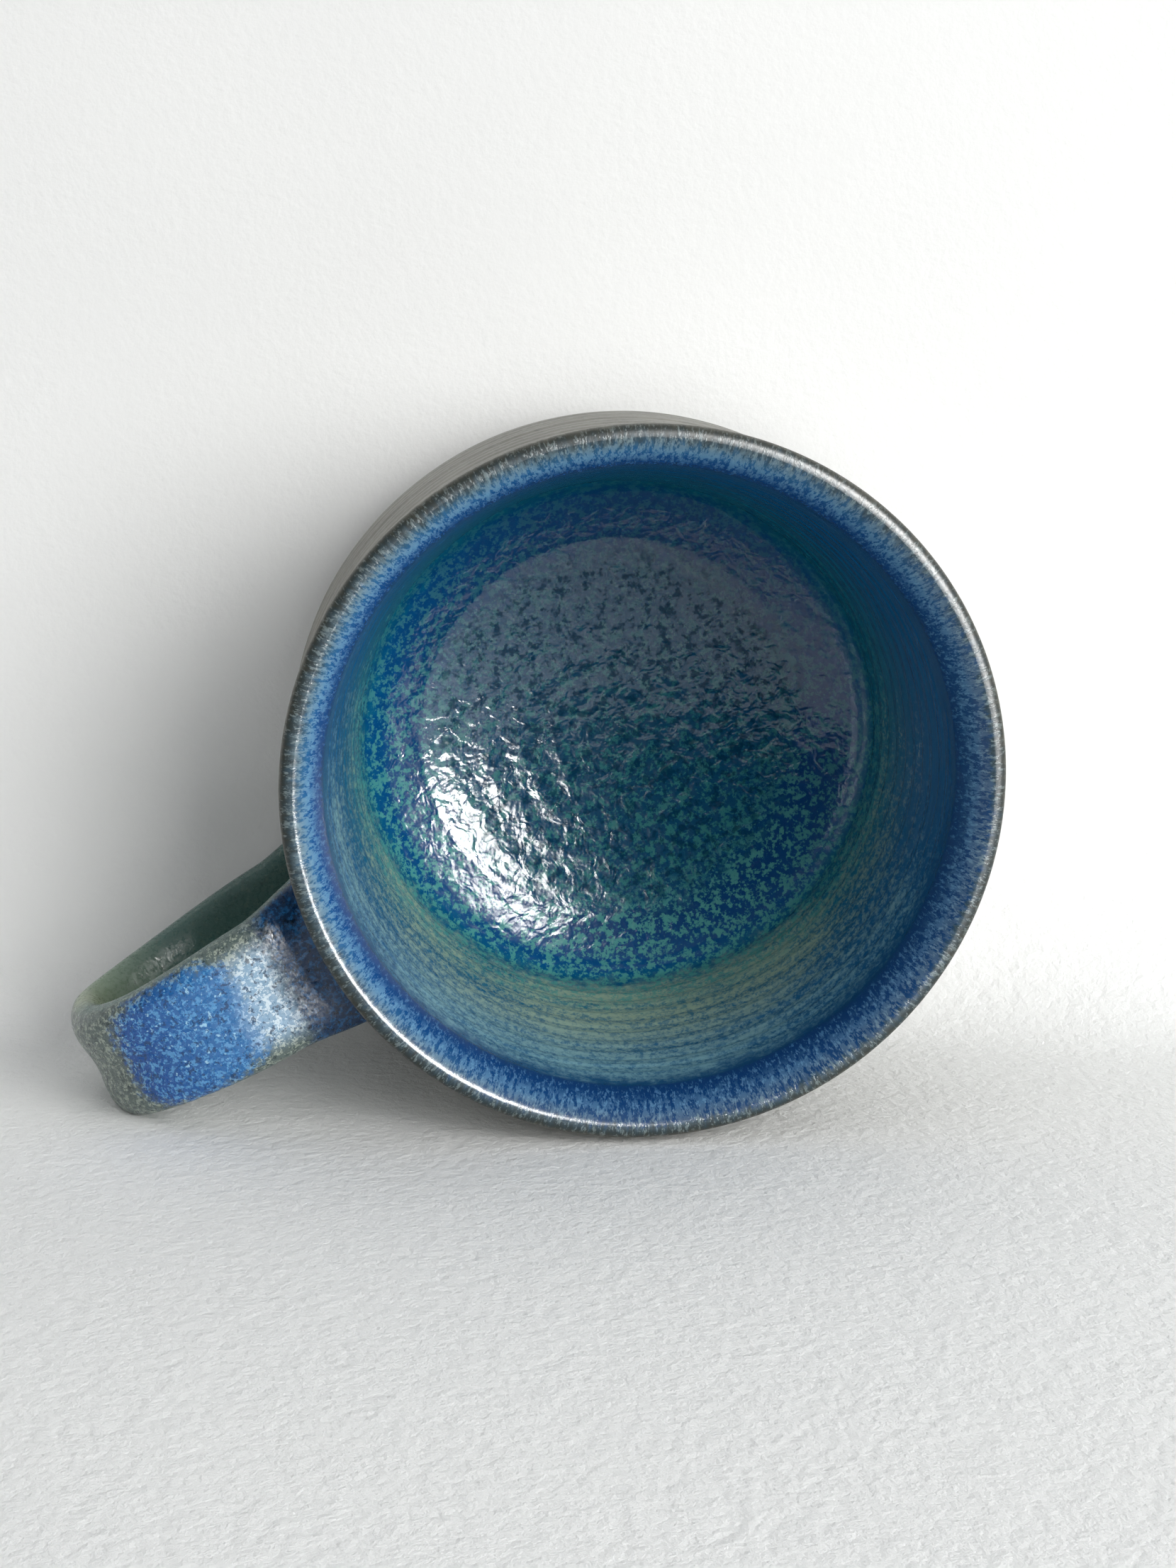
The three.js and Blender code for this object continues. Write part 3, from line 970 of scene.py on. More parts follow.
def inside_glaze_material():
    made, tree, surface = material("inside_glaze_teal")
    wheel = attribute(tree, "wheel")
    place = place_of(tree)
    way = split(tree, wheel)[2]
    ragged = noise(tree, place, 420.0, 4.0, 0.6)
    moved = shifted(tree, way, ragged, 9 * MM)
    base = ramp(
        tree,
        moved,
        [
            (8.0, colour(0, 66, 112)),
            (12.0, colour(0, 76, 122)),
            (24.0, colour(0, 80, 122)),
            (38.0, colour(4, 92, 116)),
            (44.0, colour(4, 90, 112)),
            (48.5, colour(0, 64, 112)),
            (55.0, colour(0, 54, 100)),
            (60.0, colour(0, 60, 92)),
            (86.0, colour(0, 56, 82)),
        ],
    )
    streak = streaks_of(tree, wheel, 300.0, 0.10)
    hair = streaks_of(tree, wheel, 900.0, 0.22)
    patch = noise(tree, place, 42.0, 2.0)
    # Painted light: the grey-green haze, the corner flecks and the floor's green mottle are stronger on the
    # side that faces the window, on top of the pour's own drift.
    lit = pour_and_light_side(tree, place)
    wash = shifted(tree, times(tree, lit, 0.42), streak, 0.65)
    wash = shifted(tree, shifted(tree, wash, hair, 0.35), patch, 0.5)
    grain = flecks_of(tree, place, 1100.0, 0.5, 0.12)
    haze_and_light = step(tree, shifted(tree, wash, grain, 0.34), -0.05, 0.55)
    wall = band(tree, moved, 10 * MM, 44 * MM, 3 * MM)
    tint = blend(tree, step(tree, way, 12 * MM, 34 * MM), colour(116, 160, 170), colour(146, 166, 140))
    washed = blend(tree, times(tree, haze_and_light, wall, 0.9), base, tint)
    flecks = flecks_of(tree, place, 820.0, 0.46, 0.045)
    corner = band(tree, moved, 37 * MM, 60 * MM, 5 * MM)
    stronger_where_lit = step(tree, lit, -0.7, 0.6, 0.2, 0.8)
    flecked = blend(tree, times(tree, flecks, corner, stronger_where_lit), washed, colour(70, 140, 132))
    mottle = flecks_of(tree, place, 700.0, 0.44, 0.05)
    floor = step(tree, way, 55 * MM, 62 * MM)
    green = times(tree, mottle, floor, step(tree, lit, -0.6, 0.4, 0.25, 0.7))
    floored = blend(tree, green, flecked, colour(44, 112, 108))
    dark = flecks_of(tree, place, 640.0, 0.42, 0.05)
    floored = blend(tree, times(tree, dark, floor, 0.75), floored, colour(0, 40, 62))
    lip = use(tree, lip_glaze, {"Wheel": wheel})
    below = step(tree, way, 7.4 * MM, 8.6 * MM)
    tree.links.new(blend(tree, below, lip["Colour"], floored), surface.inputs["Base Color"])
    gloss(surface, 0.2, 1.6)
    tree.links.new(step(tree, way, 30 * MM, 50 * MM, 0.27, 0.13), surface.inputs["Roughness"])
    clear = step(tree, times(tree, dark, floor), 0.0, 1.0, 0.5, 0.14)
    sheen = times(tree, clear, step(tree, way, 1 * MM, 4 * MM, THIN_SHEEN, 1.0))
    tree.links.new(sheen, surface.inputs["Specular IOR Level"])
    peel = use(tree, orange_peel, {"Vector": place, "Fineness": 430.0})["Height"]
    deep = times(tree, peel, step(tree, way, 36 * MM, 56 * MM, 0.12, 1.0))
    first = bump(tree, deep, 0.22 * MM)
    lines = bump(tree, times(tree, hair, wall), 0.04 * MM, first)
    tree.links.new(bump(tree, lip["Specks"], 0.03 * MM, lines), surface.inputs["Normal"])
    return made


inside_finish = inside_glaze_material()
print("finish:", inside_finish.name)

# %% [markdown]
# ## The glaze outside
#
# Outside, the same glaze lies thin over a wall smoothed with a rib. It is a silvery taupe, drawn
# into fine streaks round the cup, with cloudy patches, darker freckles, and a thin brown edge where
# it stops above the foot.


# %% Outside glaze
def taupe_group():
    """The thin taupe glaze of the outside, which runs on over the roots of the handle."""
    group, given, result = shader_group(
        "Taupe glaze",
        [("Vector", "Vector", None), ("Streak", "Float", 0.5)],
        [("Colour", "Color"), ("Height", "Float")],
    )
    cloud = noise(group, given["Vector"], 55.0, 3.0, 0.55)
    freckle = flecks_of(group, given["Vector"], 700.0, 0.34, 0.08)
    pale = flecks_of(group, given["Vector"], 1100.0, 0.4, 0.1)
    ground = blend(group, step(group, cloud, 0.35, 0.65), colour(88, 86, 77), colour(112, 110, 101))
    lines = step(group, given["Streak"], 0.40, 0.64, 0.0, 0.42)
    streaked = blend(group, lines, ground, colour(134, 131, 122))
    freckled = blend(group, times(group, freckle, 0.55), streaked, colour(82, 86, 82))
    mixed = blend(group, times(group, pale, 0.25), freckled, colour(150, 156, 150))
    group.links.new(mixed, result.inputs["Colour"])
    group.links.new(plus(group, given["Streak"], times(group, freckle, 0.3)), result.inputs["Height"])
    return group


taupe = taupe_group()


def outside_glaze_material():
    made, tree, surface = material("outside_glaze_taupe")
    wheel = attribute(tree, "wheel")
    place = place_of(tree)
    way = split(tree, wheel)[2]
    streak = streaks_of(tree, wheel, 820.0, 0.06)
    wall = use(tree, taupe, {"Vector": place, "Streak": streak})
    lip = use(tree, lip_glaze, {"Wheel": wheel})
    near_lip = step(tree, way, -9 * MM, -5 * MM)
    pooled = step(tree, way, 3.2 * MM - OUTSIDE_LENGTH, 1.6 * MM - OUTSIDE_LENGTH)
    edge = blend(tree, times(tree, pooled, 0.8), wall["Colour"], colour(74, 60, 46))
    tree.links.new(blend(tree, near_lip, edge, lip["Colour"]), surface.inputs["Base Color"])
    gloss(surface, 0.40)
    sheen = times(tree, step(tree, way, -6 * MM, -3 * MM, 1.0, THIN_SHEEN), 0.5)
    tree.links.new(sheen, surface.inputs["Specular IOR Level"])
    peel = use(tree, orange_peel, {"Vector": place, "Fineness": 800.0})["Height"]
    first = bump(tree, peel, 0.04 * MM)
    lines = bump(tree, times(tree, wall["Height"], step(tree, way, -3 * MM, -6 * MM)), 0.06 * MM, first)
    tree.links.new(bump(tree, lip["Specks"], 0.03 * MM, lines), surface.inputs["Normal"])
    return made


outside_finish = outside_glaze_material()
print("finish:", outside_finish.name)

# %% [markdown]
# ## Bare clay
#
# Only the foot and the base are bare. Fired stoneware is a warm buff, toasted where the glaze stops,
# gritty, and freckled with iron.


# %% Clay
def clay_material(name, light, dark):
    made, tree, surface = material(name)
    place = place_of(tree)
    toast = noise(tree, place, 70.0, 4.0, 0.6)
    grit = noise(tree, place, 1500.0, 3.0, 0.7)
    ground = blend(tree, step(tree, toast, 0.35, 0.65), light, dark)
    spots = use(tree, iron_spots, {"Vector": place, "Fineness": 520.0, "Reach": 0.28})["Mask"]
    freckled = blend(tree, times(tree, spots, 0.8), ground, colour(62, 44, 34))
    tone = blend(tree, times(tree, grit, 0.3), freckled, colour(96, 78, 62))
    tree.links.new(tone, surface.inputs["Base Color"])
    tree.links.new(step(tree, grit, 0.3, 0.7, 0.75, 0.95), surface.inputs["Roughness"])
    surface.inputs["Specular IOR Level"].default_value = 0.3
    tree.links.new(bump(tree, grit, 0.08 * MM), surface.inputs["Normal"])
    return made


cup_clay_finish = clay_material("bare_stoneware", colour(186, 160, 130), colour(160, 126, 94))
luting_finish = clay_material("luting_clay", colour(176, 150, 122), colour(148, 116, 88))
print("finish:", cup_clay_finish.name, luting_finish.name)

# %% [markdown]
# ## The two coats of glaze
#
# A coat is a thin closed shell: the skin on top, and the same skin sunk by the coat's thickness
# beneath. The rings are set close together at the crest, where both coats meet, so that no step
# shows. The outside coat was dipped, so its lower edge wavers round the foot and ends in a bead.


# %% Coats
POLE_GAP = 0.4 * MM  # the last ring of the floor stands this far from its middle point
FLOW_LENGTH = 9 * MM  # how far up from the dipped edge its wavering reaches
CREST_TIGHT = 0.08  # the rings at the crest stand this much closer than even ones
TOP_RINGS, UNDER_RINGS, WALL_RINGS = 270, 50, 240
BEAD_HEIGHT, BEAD_WIDTH = 0.22 * MM, 0.8 * MM


def ring_ways(start, stop, count, tight=1.0):
    """Distances along the skin; a tight value under 1 sets them closer together at the start."""
    t = np.linspace(0, 1, count)
    return start + (stop - start) * t * (tight + (1 - tight) * t)


def skin_rows(way, turn, depth=0.0):
    """Points of the skin, and the numbers that the rule for ridges needs."""
    way, turn = np.broadcast_arrays(way, turn)
    places, outward = cup_surface(way, turn, depth)
    wheel = np.stack([RIM_RADIUS * np.cos(turn), RIM_RADIUS * np.sin(turn), way], -1)
    return [part.reshape(-1, 3) for part in (places, wheel, outward)]


def joined(*parts):
    """Joins rows of points, with their numbers, into one set."""
    places, wheel, outward = (np.concatenate(kind) for kind in zip(*parts))
    return places, {"wheel": wheel, "outward": outward}


def inside_coat():
    ways = ring_ways(0, INSIDE_LENGTH - POLE_GAP, TOP_RINGS, CREST_TIGHT)
    under = ring_ways(INSIDE_LENGTH - POLE_GAP, 0, UNDER_RINGS)
    poles = skin_rows(np.full(2, INSIDE_LENGTH), np.zeros(2), np.array([0, COAT]))
    points, marks = joined(skin_rows(ways[:, None], TURN), skin_rows(under[:, None], TURN, COAT), poles)
    top, bottom = len(ways), len(ways) + len(under)
    faces = grid_faces(top, TURNS)
    faces += (np.array(grid_faces(len(under), TURNS)) + top * TURNS).tolist()
    seam, inner, outer = (bottom - 1) * TURNS, (top - 1) * TURNS, top * TURNS
    pole = bottom * TURNS
    for i in range(TURNS):
        after = (i + 1) % TURNS
        faces.append((seam + i, seam + after, after, i))
        faces.append((inner + i, inner + after, pole))
        faces.append((outer + after, outer + i, pole + 1))
    return mesh_of("mug_inside_glaze", points, faces, marks)


def glaze_edge(turn):
    """How far up from the start of the skin the dipped glaze stops, which wavers round the foot."""
    wavering = 0.5 * np.sin(3 * turn + 0.4) + 0.35 * np.sin(7 * turn + 1.9) + 0.25 * np.sin(13 * turn + 0.2)
    return (1.5 + 0.55 * wavering) * MM


def outside_coat():
    """The skin from the wavering edge, where it ends in a soft bead, up to the crest."""
    upward = ring_ways(0, OUTSIDE_LENGTH, WALL_RINGS, CREST_TIGHT)[::-1]
    way, turn = np.meshgrid(-upward, TURN, indexing="ij")
    share = np.clip((FLOW_LENGTH - OUTSIDE_LENGTH - way) / FLOW_LENGTH, 0, 1)
    way = way + share * glaze_edge(turn)
    from_edge = way + OUTSIDE_LENGTH - glaze_edge(turn)
    bead = BEAD_HEIGHT * np.exp(-(((from_edge - 1.0 * MM) / BEAD_WIDTH) ** 2))
    drop = COAT * np.clip(1 - from_edge / (0.7 * MM), 0, 1) ** 2
    below = np.concatenate([way[::-1][::5], way[:1]])
    turn_below = np.concatenate([turn[::-1][::5], turn[:1]])
    under = skin_rows(below, turn_below, COAT + 0.02 * MM)
    points, marks = joined(skin_rows(way, turn, drop - bead), under)
    _, faces = closed_rings(points.reshape(-1, TURNS, 3))
    return mesh_of("mug_outside_glaze", points, faces, marks)


piece(thrown(inside_coat(), inside_finish), inside_finish, "inside_glaze")
piece(thrown(outside_coat(), outside_finish), outside_finish, "outside_glaze")

# %% [markdown]
# ## The clay cup and its foot
#
# Under the glaze the clay repeats the skin, a coat's thickness down. The base was cut from the wheel
# with a twisted wire, which leaves curved furrows, and its edge was bevelled with a wooden knife and
# rubbed smooth, so that it does not scratch a table.


# %% Clay cup
EDGE_ROUND = 0.5 * MM  # how far the edge of the foot is rubbed away
WIRE_PITCH = 2.9 * MM
WIRE_DEPTH = 0.09 * MM
BASE_RINGS = 75
BEVEL_SHARES = np.array([0.12, 0.3, 0.5, 0.7, 0.85])


def clay_base():
    """The underside, in rings from near its middle to the rubbed edge of the foot."""
    rings = ring_ways(0.6 * MM, FOOT_RADIUS - 0.8 * MM, BASE_RINGS)
    edge = FOOT_RADIUS - np.array([0.5, 0.25, 0.08, 0]) * MM
    radius, turn = np.meshgrid(np.concatenate([rings, edge]), TURN, indexing="ij")
    x, y = radius * np.cos(turn), radius * np.sin(turn)
    from_hand = np.hypot(x + 0.9 * FOOT_RADIUS, y + 0.3 * FOOT_RADIUS)
    furrow = WIRE_DEPTH * (1 + np.sin(math.tau * from_hand / WIRE_PITCH))
    kept = smooth(radius, FOOT_RADIUS - 0.4 * MM, FOOT_RADIUS - 4 * MM)
    past = np.clip((radius - FOOT_RADIUS + EDGE_ROUND) / EDGE_ROUND, 0, 1)
    rubbed = 0.35 * MM * (1 - np.sqrt(1 - past**2))
    return np.stack([x, y, furrow * kept + rubbed], -1)


def clay_cup():
    bottom = clay_base()
    ways = ring_ways(-OUTSIDE_LENGTH, INSIDE_LENGTH - POLE_GAP, WALL_RINGS)
    wall = skin_rows(ways[:, None], TURN, CLAY_DEPTH)
    bevel = bottom[-1] + (wall[0][:TURNS] - bottom[-1]) * BEVEL_SHARES[:, None, None]
    plain = np.concatenate([bottom, bevel]).reshape(-1, 3)
    middle = bottom[0].mean(axis=0, keepdims=True)
    base_part = [plain, plain * 0, plain * 0]
    poles = skin_rows(np.full(1, INSIDE_LENGTH), np.zeros(1), CLAY_DEPTH)
    points, marks = joined(base_part, wall, [middle, middle * 0, middle * 0], poles)
    base_pole, floor_pole = len(points) - 2, len(points) - 1
    rows = len(bottom) + len(bevel) + len(ways)
    faces = grid_faces(rows, TURNS)
    last = (rows - 1) * TURNS
    for i in range(TURNS):
        after = (i + 1) % TURNS
        faces.append((i, base_pole, after))
        faces.append((last + i, last + after, floor_pole))
    return mesh_of("mug_clay", points, faces, marks)


piece(thrown(clay_cup(), cup_clay_finish), cup_clay_finish, "cup_clay")

# %% [markdown]
# ## The strap's path
#
# A pulled handle is a strap of clay with one clean bend. It springs out of the wall a little upwards,
# turns over at its crown, drops past the elbow, and slopes back to the belly. Two cubic curves give
# that line, the same two as in the CAD model. At each step along it the section is a flat, rounded
# bar, with a shallow groove down its outer face from the potter's thumb.

# %% Strap
ROOT_SINK = 10 * MM
ELBOW_X = GRIP_HIGH.x - 3.2 * MM
ELBOW_TWIST = math.radians(5.6)  # the strap turned a little as it was bent
ELBOW_DRIFT = 1.5 * MM  # it leans to one side
ELBOW_YAW = 0.1  # and one edge of it reaches further out than the other
UPPER_ROOT = (RIM_RADIUS - ROOT_SINK, HEIGHT - 18.5 * MM)
ELBOW = (ELBOW_X, HEIGHT - 30 * MM)
LOWER_ROOT = (BELLY_RADIUS - ROOT_SINK, 9 * MM)
UPPER_PULL = (19 * MM, 12.5 * MM)  # how far each end of a curve runs on before it turns
ELBOW_PULL = (0, 24.5 * MM)
ELBOW_FALL = (0, -5.5 * MM)
LOWER_PULL = (30 * MM, 2.6 * MM)
STRAP_HALF_WIDTH = 9.6 * MM
STRAP_HALF_THICKNESS = 3.3 * MM
ROOT_FLARE = 0.18  # the strap is wider at its roots, by this share
ELBOW_TAPER = 0.1  # and narrower at its bend
NEAR_WALL, FAR_FROM_WALL = 12 * MM, 36 * MM
SQUARE_SIDE, SQUARE_FACE = 0.66, 0.8  # powers under 1 make an oval squarer
GROOVE_DEPTH, GROOVE_WIDTH = 0.9 * MM, 0.46  # the width is a share of the strap's
GROOVE_START = 14 * MM
PALM_HOLLOW, PALM_WIDTH = 0.25 * MM, 0.6
AROUND = 112
AROUND_ANGLE = np.linspace(0, 2 * np.pi, AROUND, endpoint=False)


def strap_line():
    upper, elbow, lower = (np.array(place) for place in (UPPER_ROOT, ELBOW, LOWER_ROOT))
    out = curve(upper, upper + UPPER_PULL, elbow + ELBOW_PULL, elbow)
    back = curve(elbow, elbow + ELBOW_FALL, lower + LOWER_PULL, lower)
    return np.vstack([out, back[1:]])


strap_points = strap_line()
strap_way = lengths_along(strap_points)
STRAP_LENGTH = strap_way[-1]
print(f"strap {STRAP_LENGTH / MM:.0f} mm long, root to root")


def strap_at(along):
    """Place and direction of the strap's middle line in the plane of the handle."""
    x, z = (np.interp(along, strap_way, strap_points[:, i]) for i in (0, 1))
    near = 0.3 * MM
    ahead = [np.interp(along + near, strap_way, strap_points[:, i]) for i in (0, 1)]
    behind = [np.interp(along - near, strap_way, strap_points[:, i]) for i in (0, 1)]
    dx, dz = ahead[0] - behind[0], ahead[1] - behind[1]
    length = np.maximum(np.hypot(dx, dz), 1e-12)
    return x, z, dx / length, dz / length


def strap_section(along, angle, grow=0.0):
    """Across and outward distances of the section's outline, and its normal's two parts."""
    x = strap_at(along)[0]
    from_wall = x - WAIST_RADIUS
    flare = ROOT_FLARE * (1 - smooth(from_wall, 0, NEAR_WALL))
    spread = 1 + flare - ELBOW_TAPER * smooth(from_wall, NEAR_WALL, FAR_FROM_WALL)
    width = (STRAP_HALF_WIDTH * spread + grow) * (1 + 0.012 * np.sin(along / (9 * MM)))
    thick = STRAP_HALF_THICKNESS + grow + 0.25 * MM * np.cos(2 * np.pi * along / STRAP_LENGTH)

    def outline(a):
        c, s = np.cos(a), np.sin(a)
        across = width * np.sign(c) * np.abs(c) ** SQUARE_SIDE
        out = thick * np.sign(s) * np.abs(s) ** SQUARE_FACE
        middle = np.exp(-((across / (GROOVE_WIDTH * width)) ** 2)) * smooth(s, 0, 0.9)
        groove = GROOVE_DEPTH * smooth(from_wall, 0, GROOVE_START)
        palm = np.exp(-((across / (PALM_WIDTH * width)) ** 2)) * smooth(-s, 0, 0.9)
        return across, out - groove * middle + PALM_HOLLOW * palm

    across, out = outline(angle)
    before, after = outline(angle - 0.01), outline(angle + 0.01)
    da, db = after[0] - before[0], after[1] - before[1]
    length = np.maximum(np.hypot(da, db), 1e-12)
    return across, out, db / length, -da / length


def strap_surface(along, angle, grow=0.0):
    """Places on the strap, the normals of its sides, and (across, along, outward) marks."""
    x, z, dx, dz = strap_at(along)
    across, out, side_y, side_out = strap_section(along, angle, grow)
    marks = np.stack(np.broadcast_arrays(across, along, out), -1)
    bent = np.sin(np.pi * along / STRAP_LENGTH) ** 2
    cos, sin = np.cos(ELBOW_TWIST * bent), np.sin(ELBOW_TWIST * bent)
    across, out = across * cos + out * sin, out * cos - across * sin
    side_y, side_out = side_y * cos + side_out * sin, side_out * cos - side_y * sin
    x = x + ELBOW_YAW * across * bent
    places = np.stack([x - dz * out, HANDLE_SIDE + ELBOW_DRIFT * bent + across, z + dx * out], -1)
    normals = np.stack([-dz * side_out, side_y, dx * side_out], -1)
    return places, normals, marks


# %% [markdown]
# ## Where the strap meets the cup
#
# The potter scores both surfaces, wets them with slip, presses the strap on, and works a coil of
# clay round the joint with a finger. So the strap does not end in a hard line: it flares, and flows
# into the wall on a small radius. Each long line of the strap is followed until it is close to the
# wall, and is then pushed sideways along the wall, by just the amount that draws a quarter circle.

# %% Fillets
ROUND_UPPER = 3.6 * MM  # radius of the fillet at each root
ROUND_LOWER = 2.7 * MM
FILLET_STEPS = 14
MIDDLE_STEPS = 250
outer_radius = outside_line[:, 0]
outer_height = outside_line[:, 1]


def wall_distance(places):
    """Distance of places from the outside of the cup, and the wall's normal there."""
    flat = np.hypot(places[..., 0], places[..., 1])
    turn = np.arctan2(places[..., 1], places[..., 0])
    height = np.clip(places[..., 2], outer_height[0], outer_height[-1])
    radius = np.interp(height, outer_height, outer_radius) * (1 + OVAL * np.cos(2 * turn))
    way = np.interp(height, outer_height, skin_way[: len(outer_height)])
    _, _, out_r, out_z = skin_place(way)
    normal = np.stack([out_r * np.cos(turn), out_r * np.sin(turn), out_z], -1)
    return (flat - radius) * np.maximum(out_r, 0.3), normal


def root_lines(end, depth, grow):
    """For each long line of the strap, its radius of fillet, and a function of distance from the wall."""
    half = np.linspace(0, 0.5, 400) * STRAP_LENGTH
    along = half if end == "upper" else STRAP_LENGTH - half
    grid, angle = np.meshgrid(along, AROUND_ANGLE, indexing="ij")
    distance = wall_distance(strap_surface(grid, angle, grow)[0])[0] + depth
    distance = np.maximum.accumulate(distance, axis=0) + np.arange(len(along))[:, None] * 1e-9
    tilt = np.sin(AROUND_ANGLE)
    radius = ROUND_UPPER + 0.7 * MM * tilt if end == "upper" else ROUND_LOWER - 0.9 * MM * tilt

    def at(wanted):
        found = [np.interp(wanted[i], distance[:, i], along) for i in range(AROUND)]
        return np.array(found)

    return radius, at


def filleted_rows(end, depth, grow):
    """Rows of points from just under the wall's skin out to where the strap runs free."""
    radius, at = root_lines(end, depth, grow)
    rows, marks, reach = [], [], []
    arc = np.linspace(0, np.pi / 2, FILLET_STEPS)
    wanted = [np.full(AROUND, -0.35 * MM), *[radius * (1 - np.cos(a)) for a in arc]]
    shifts = [radius * 1.02, *[radius * (1 - np.sin(a)) for a in arc]]
    for distance, shift in zip(wanted, shifts):
        places, normals, mark = strap_surface(at(distance), AROUND_ANGLE, grow)
        wall = wall_distance(places)[1]
        slide = normals - wall * (normals * wall).sum(-1, keepdims=True)
        slide /= np.maximum(np.linalg.norm(slide, axis=-1, keepdims=True), 1e-9)
        rows.append(settle(places + slide * shift[:, None], distance - depth))
        marks.append(mark)
        reach.append(distance)
    return rows, marks, reach, at(radius)


def settle(places, distance):
    """Moves places along the wall's normal until they are that far from the wall."""
    for _ in range(3):
        now, wall = wall_distance(places)
        places = places + wall * (distance - now)[:, None]
    return places


def strap_rows(depth=0.0, grow=0.0):
    """The whole strap, root to root, as rows of points, with its marks."""
    first, first_marks, first_reach, start = filleted_rows("upper", depth, grow)
    last, last_marks, last_reach, stop = filleted_rows("lower", depth, grow)
    share = np.linspace(0, 1, MIDDLE_STEPS)[1:-1, None]
    along = start + (stop - start) * share
    middle, _, middle_marks = strap_surface(along, np.broadcast_to(AROUND_ANGLE, along.shape), grow)
    free = wall_distance(middle)[0]
    rows = np.concatenate([first, middle, last[::-1]])
    marks = np.concatenate([first_marks, middle_marks, last_marks[::-1]])
    reach = np.concatenate([first_reach, free, last_reach[::-1]])
    return rows, marks, np.stack([reach, reach * 0, reach * 0], -1)


glaze_rows, glaze_marks, glaze_reach = strap_rows()
print(f"strap surface: {len(glaze_rows)} rows of {AROUND} points")

# %% [markdown]
# ## The glaze on the handle
#
# On the strap the glaze slid off the edges and lay where the strap is level: a cornflower blue pool,
# full of pale crystals. Towards the cup the strap rises and the glaze breaks to pale flecks; that
# pale band over the crown is also a painted highlight. At the root it is a mottled navy. The edges
# and the bend are a thin grey green. The palm side, which nothing pooled on, is a plain dark slate
# that turns olive at the bend. Where the strap joins the wall, its glaze becomes the wall's.


# %% Handle glaze
def along_at(x):
    """How far along the strap its upper half reaches a distance from the cup's axis."""
    upper = strap_way < STRAP_LENGTH / 2
    return float(np.interp(x, strap_points[upper, 0], strap_way[upper]))


POOL_START, POOL_STOP = along_at(60 * MM), along_at(79 * MM)
POOL_WIDTH = 8.8 * MM
ROOT_STOP = along_at(56 * MM)
ELBOW_ALONG = along_at(ELBOW_X)
print(f"pool {POOL_START / MM:.0f} to {POOL_STOP / MM:.0f} mm, elbow at {ELBOW_ALONG / MM:.0f} mm along")


def pool_group():
    """1 in the middle of an oval pool on the strap's outer face, and 0 outside it."""
    inputs = [
        ("Strap", "Vector", None),
        ("Ragged", "Float", 0.5),
        ("Middle", "Float", (POOL_START + POOL_STOP) / 2),
        ("Half length", "Float", (POOL_STOP - POOL_START) / 2),
    ]
    outputs = [("Mask", "Float"), ("Outer", "Float")]
    group, given, result = shader_group("Pool on the strap", inputs, outputs)
    parts = split(group, given["Strap"])
    along = maths(group, "DIVIDE", minus(group, parts[1], given["Middle"]), given["Half length"])
    across = maths(group, "DIVIDE", parts[0], POOL_WIDTH)
    ends = maths(group, "POWER", maths(group, "ABSOLUTE", along), 2.6)
    sides = maths(group, "POWER", maths(group, "ABSOLUTE", across), 3.2)
    far = shifted(group, plus(group, ends, sides), given["Ragged"], 1.9)
    outer = step(group, parts[2], 0.2 * MM, 1.6 * MM)
    group.links.new(times(group, step(group, far, 0.62, 1.3, 1.0, 0.0), outer), result.inputs["Mask"])
    group.links.new(outer, result.inputs["Outer"])
    return group


pool = pool_group()


PALE = (1200.0, 0.44, 0.85)  # fineness, share and strength of the pale specks
DARK = (940.0, 0.36, 0.85)
BRIGHT = (720.0, 0.27, 0.75)
FAINT_PALE, FAINT_DARK = (1300.0, 0.36, 0.3), (900.0, 0.3, 0.3)
CRISP = 0.022


def specked(tree, place, under, *specks):
    """Lays several kinds of speck on a colour, each with its own tint."""
    for (fineness, share, strength), tint in specks:
        mask = flecks_of(tree, place, fineness, share, CRISP)
        under = blend(tree, times(tree, mask, strength), under, tint)
    return under


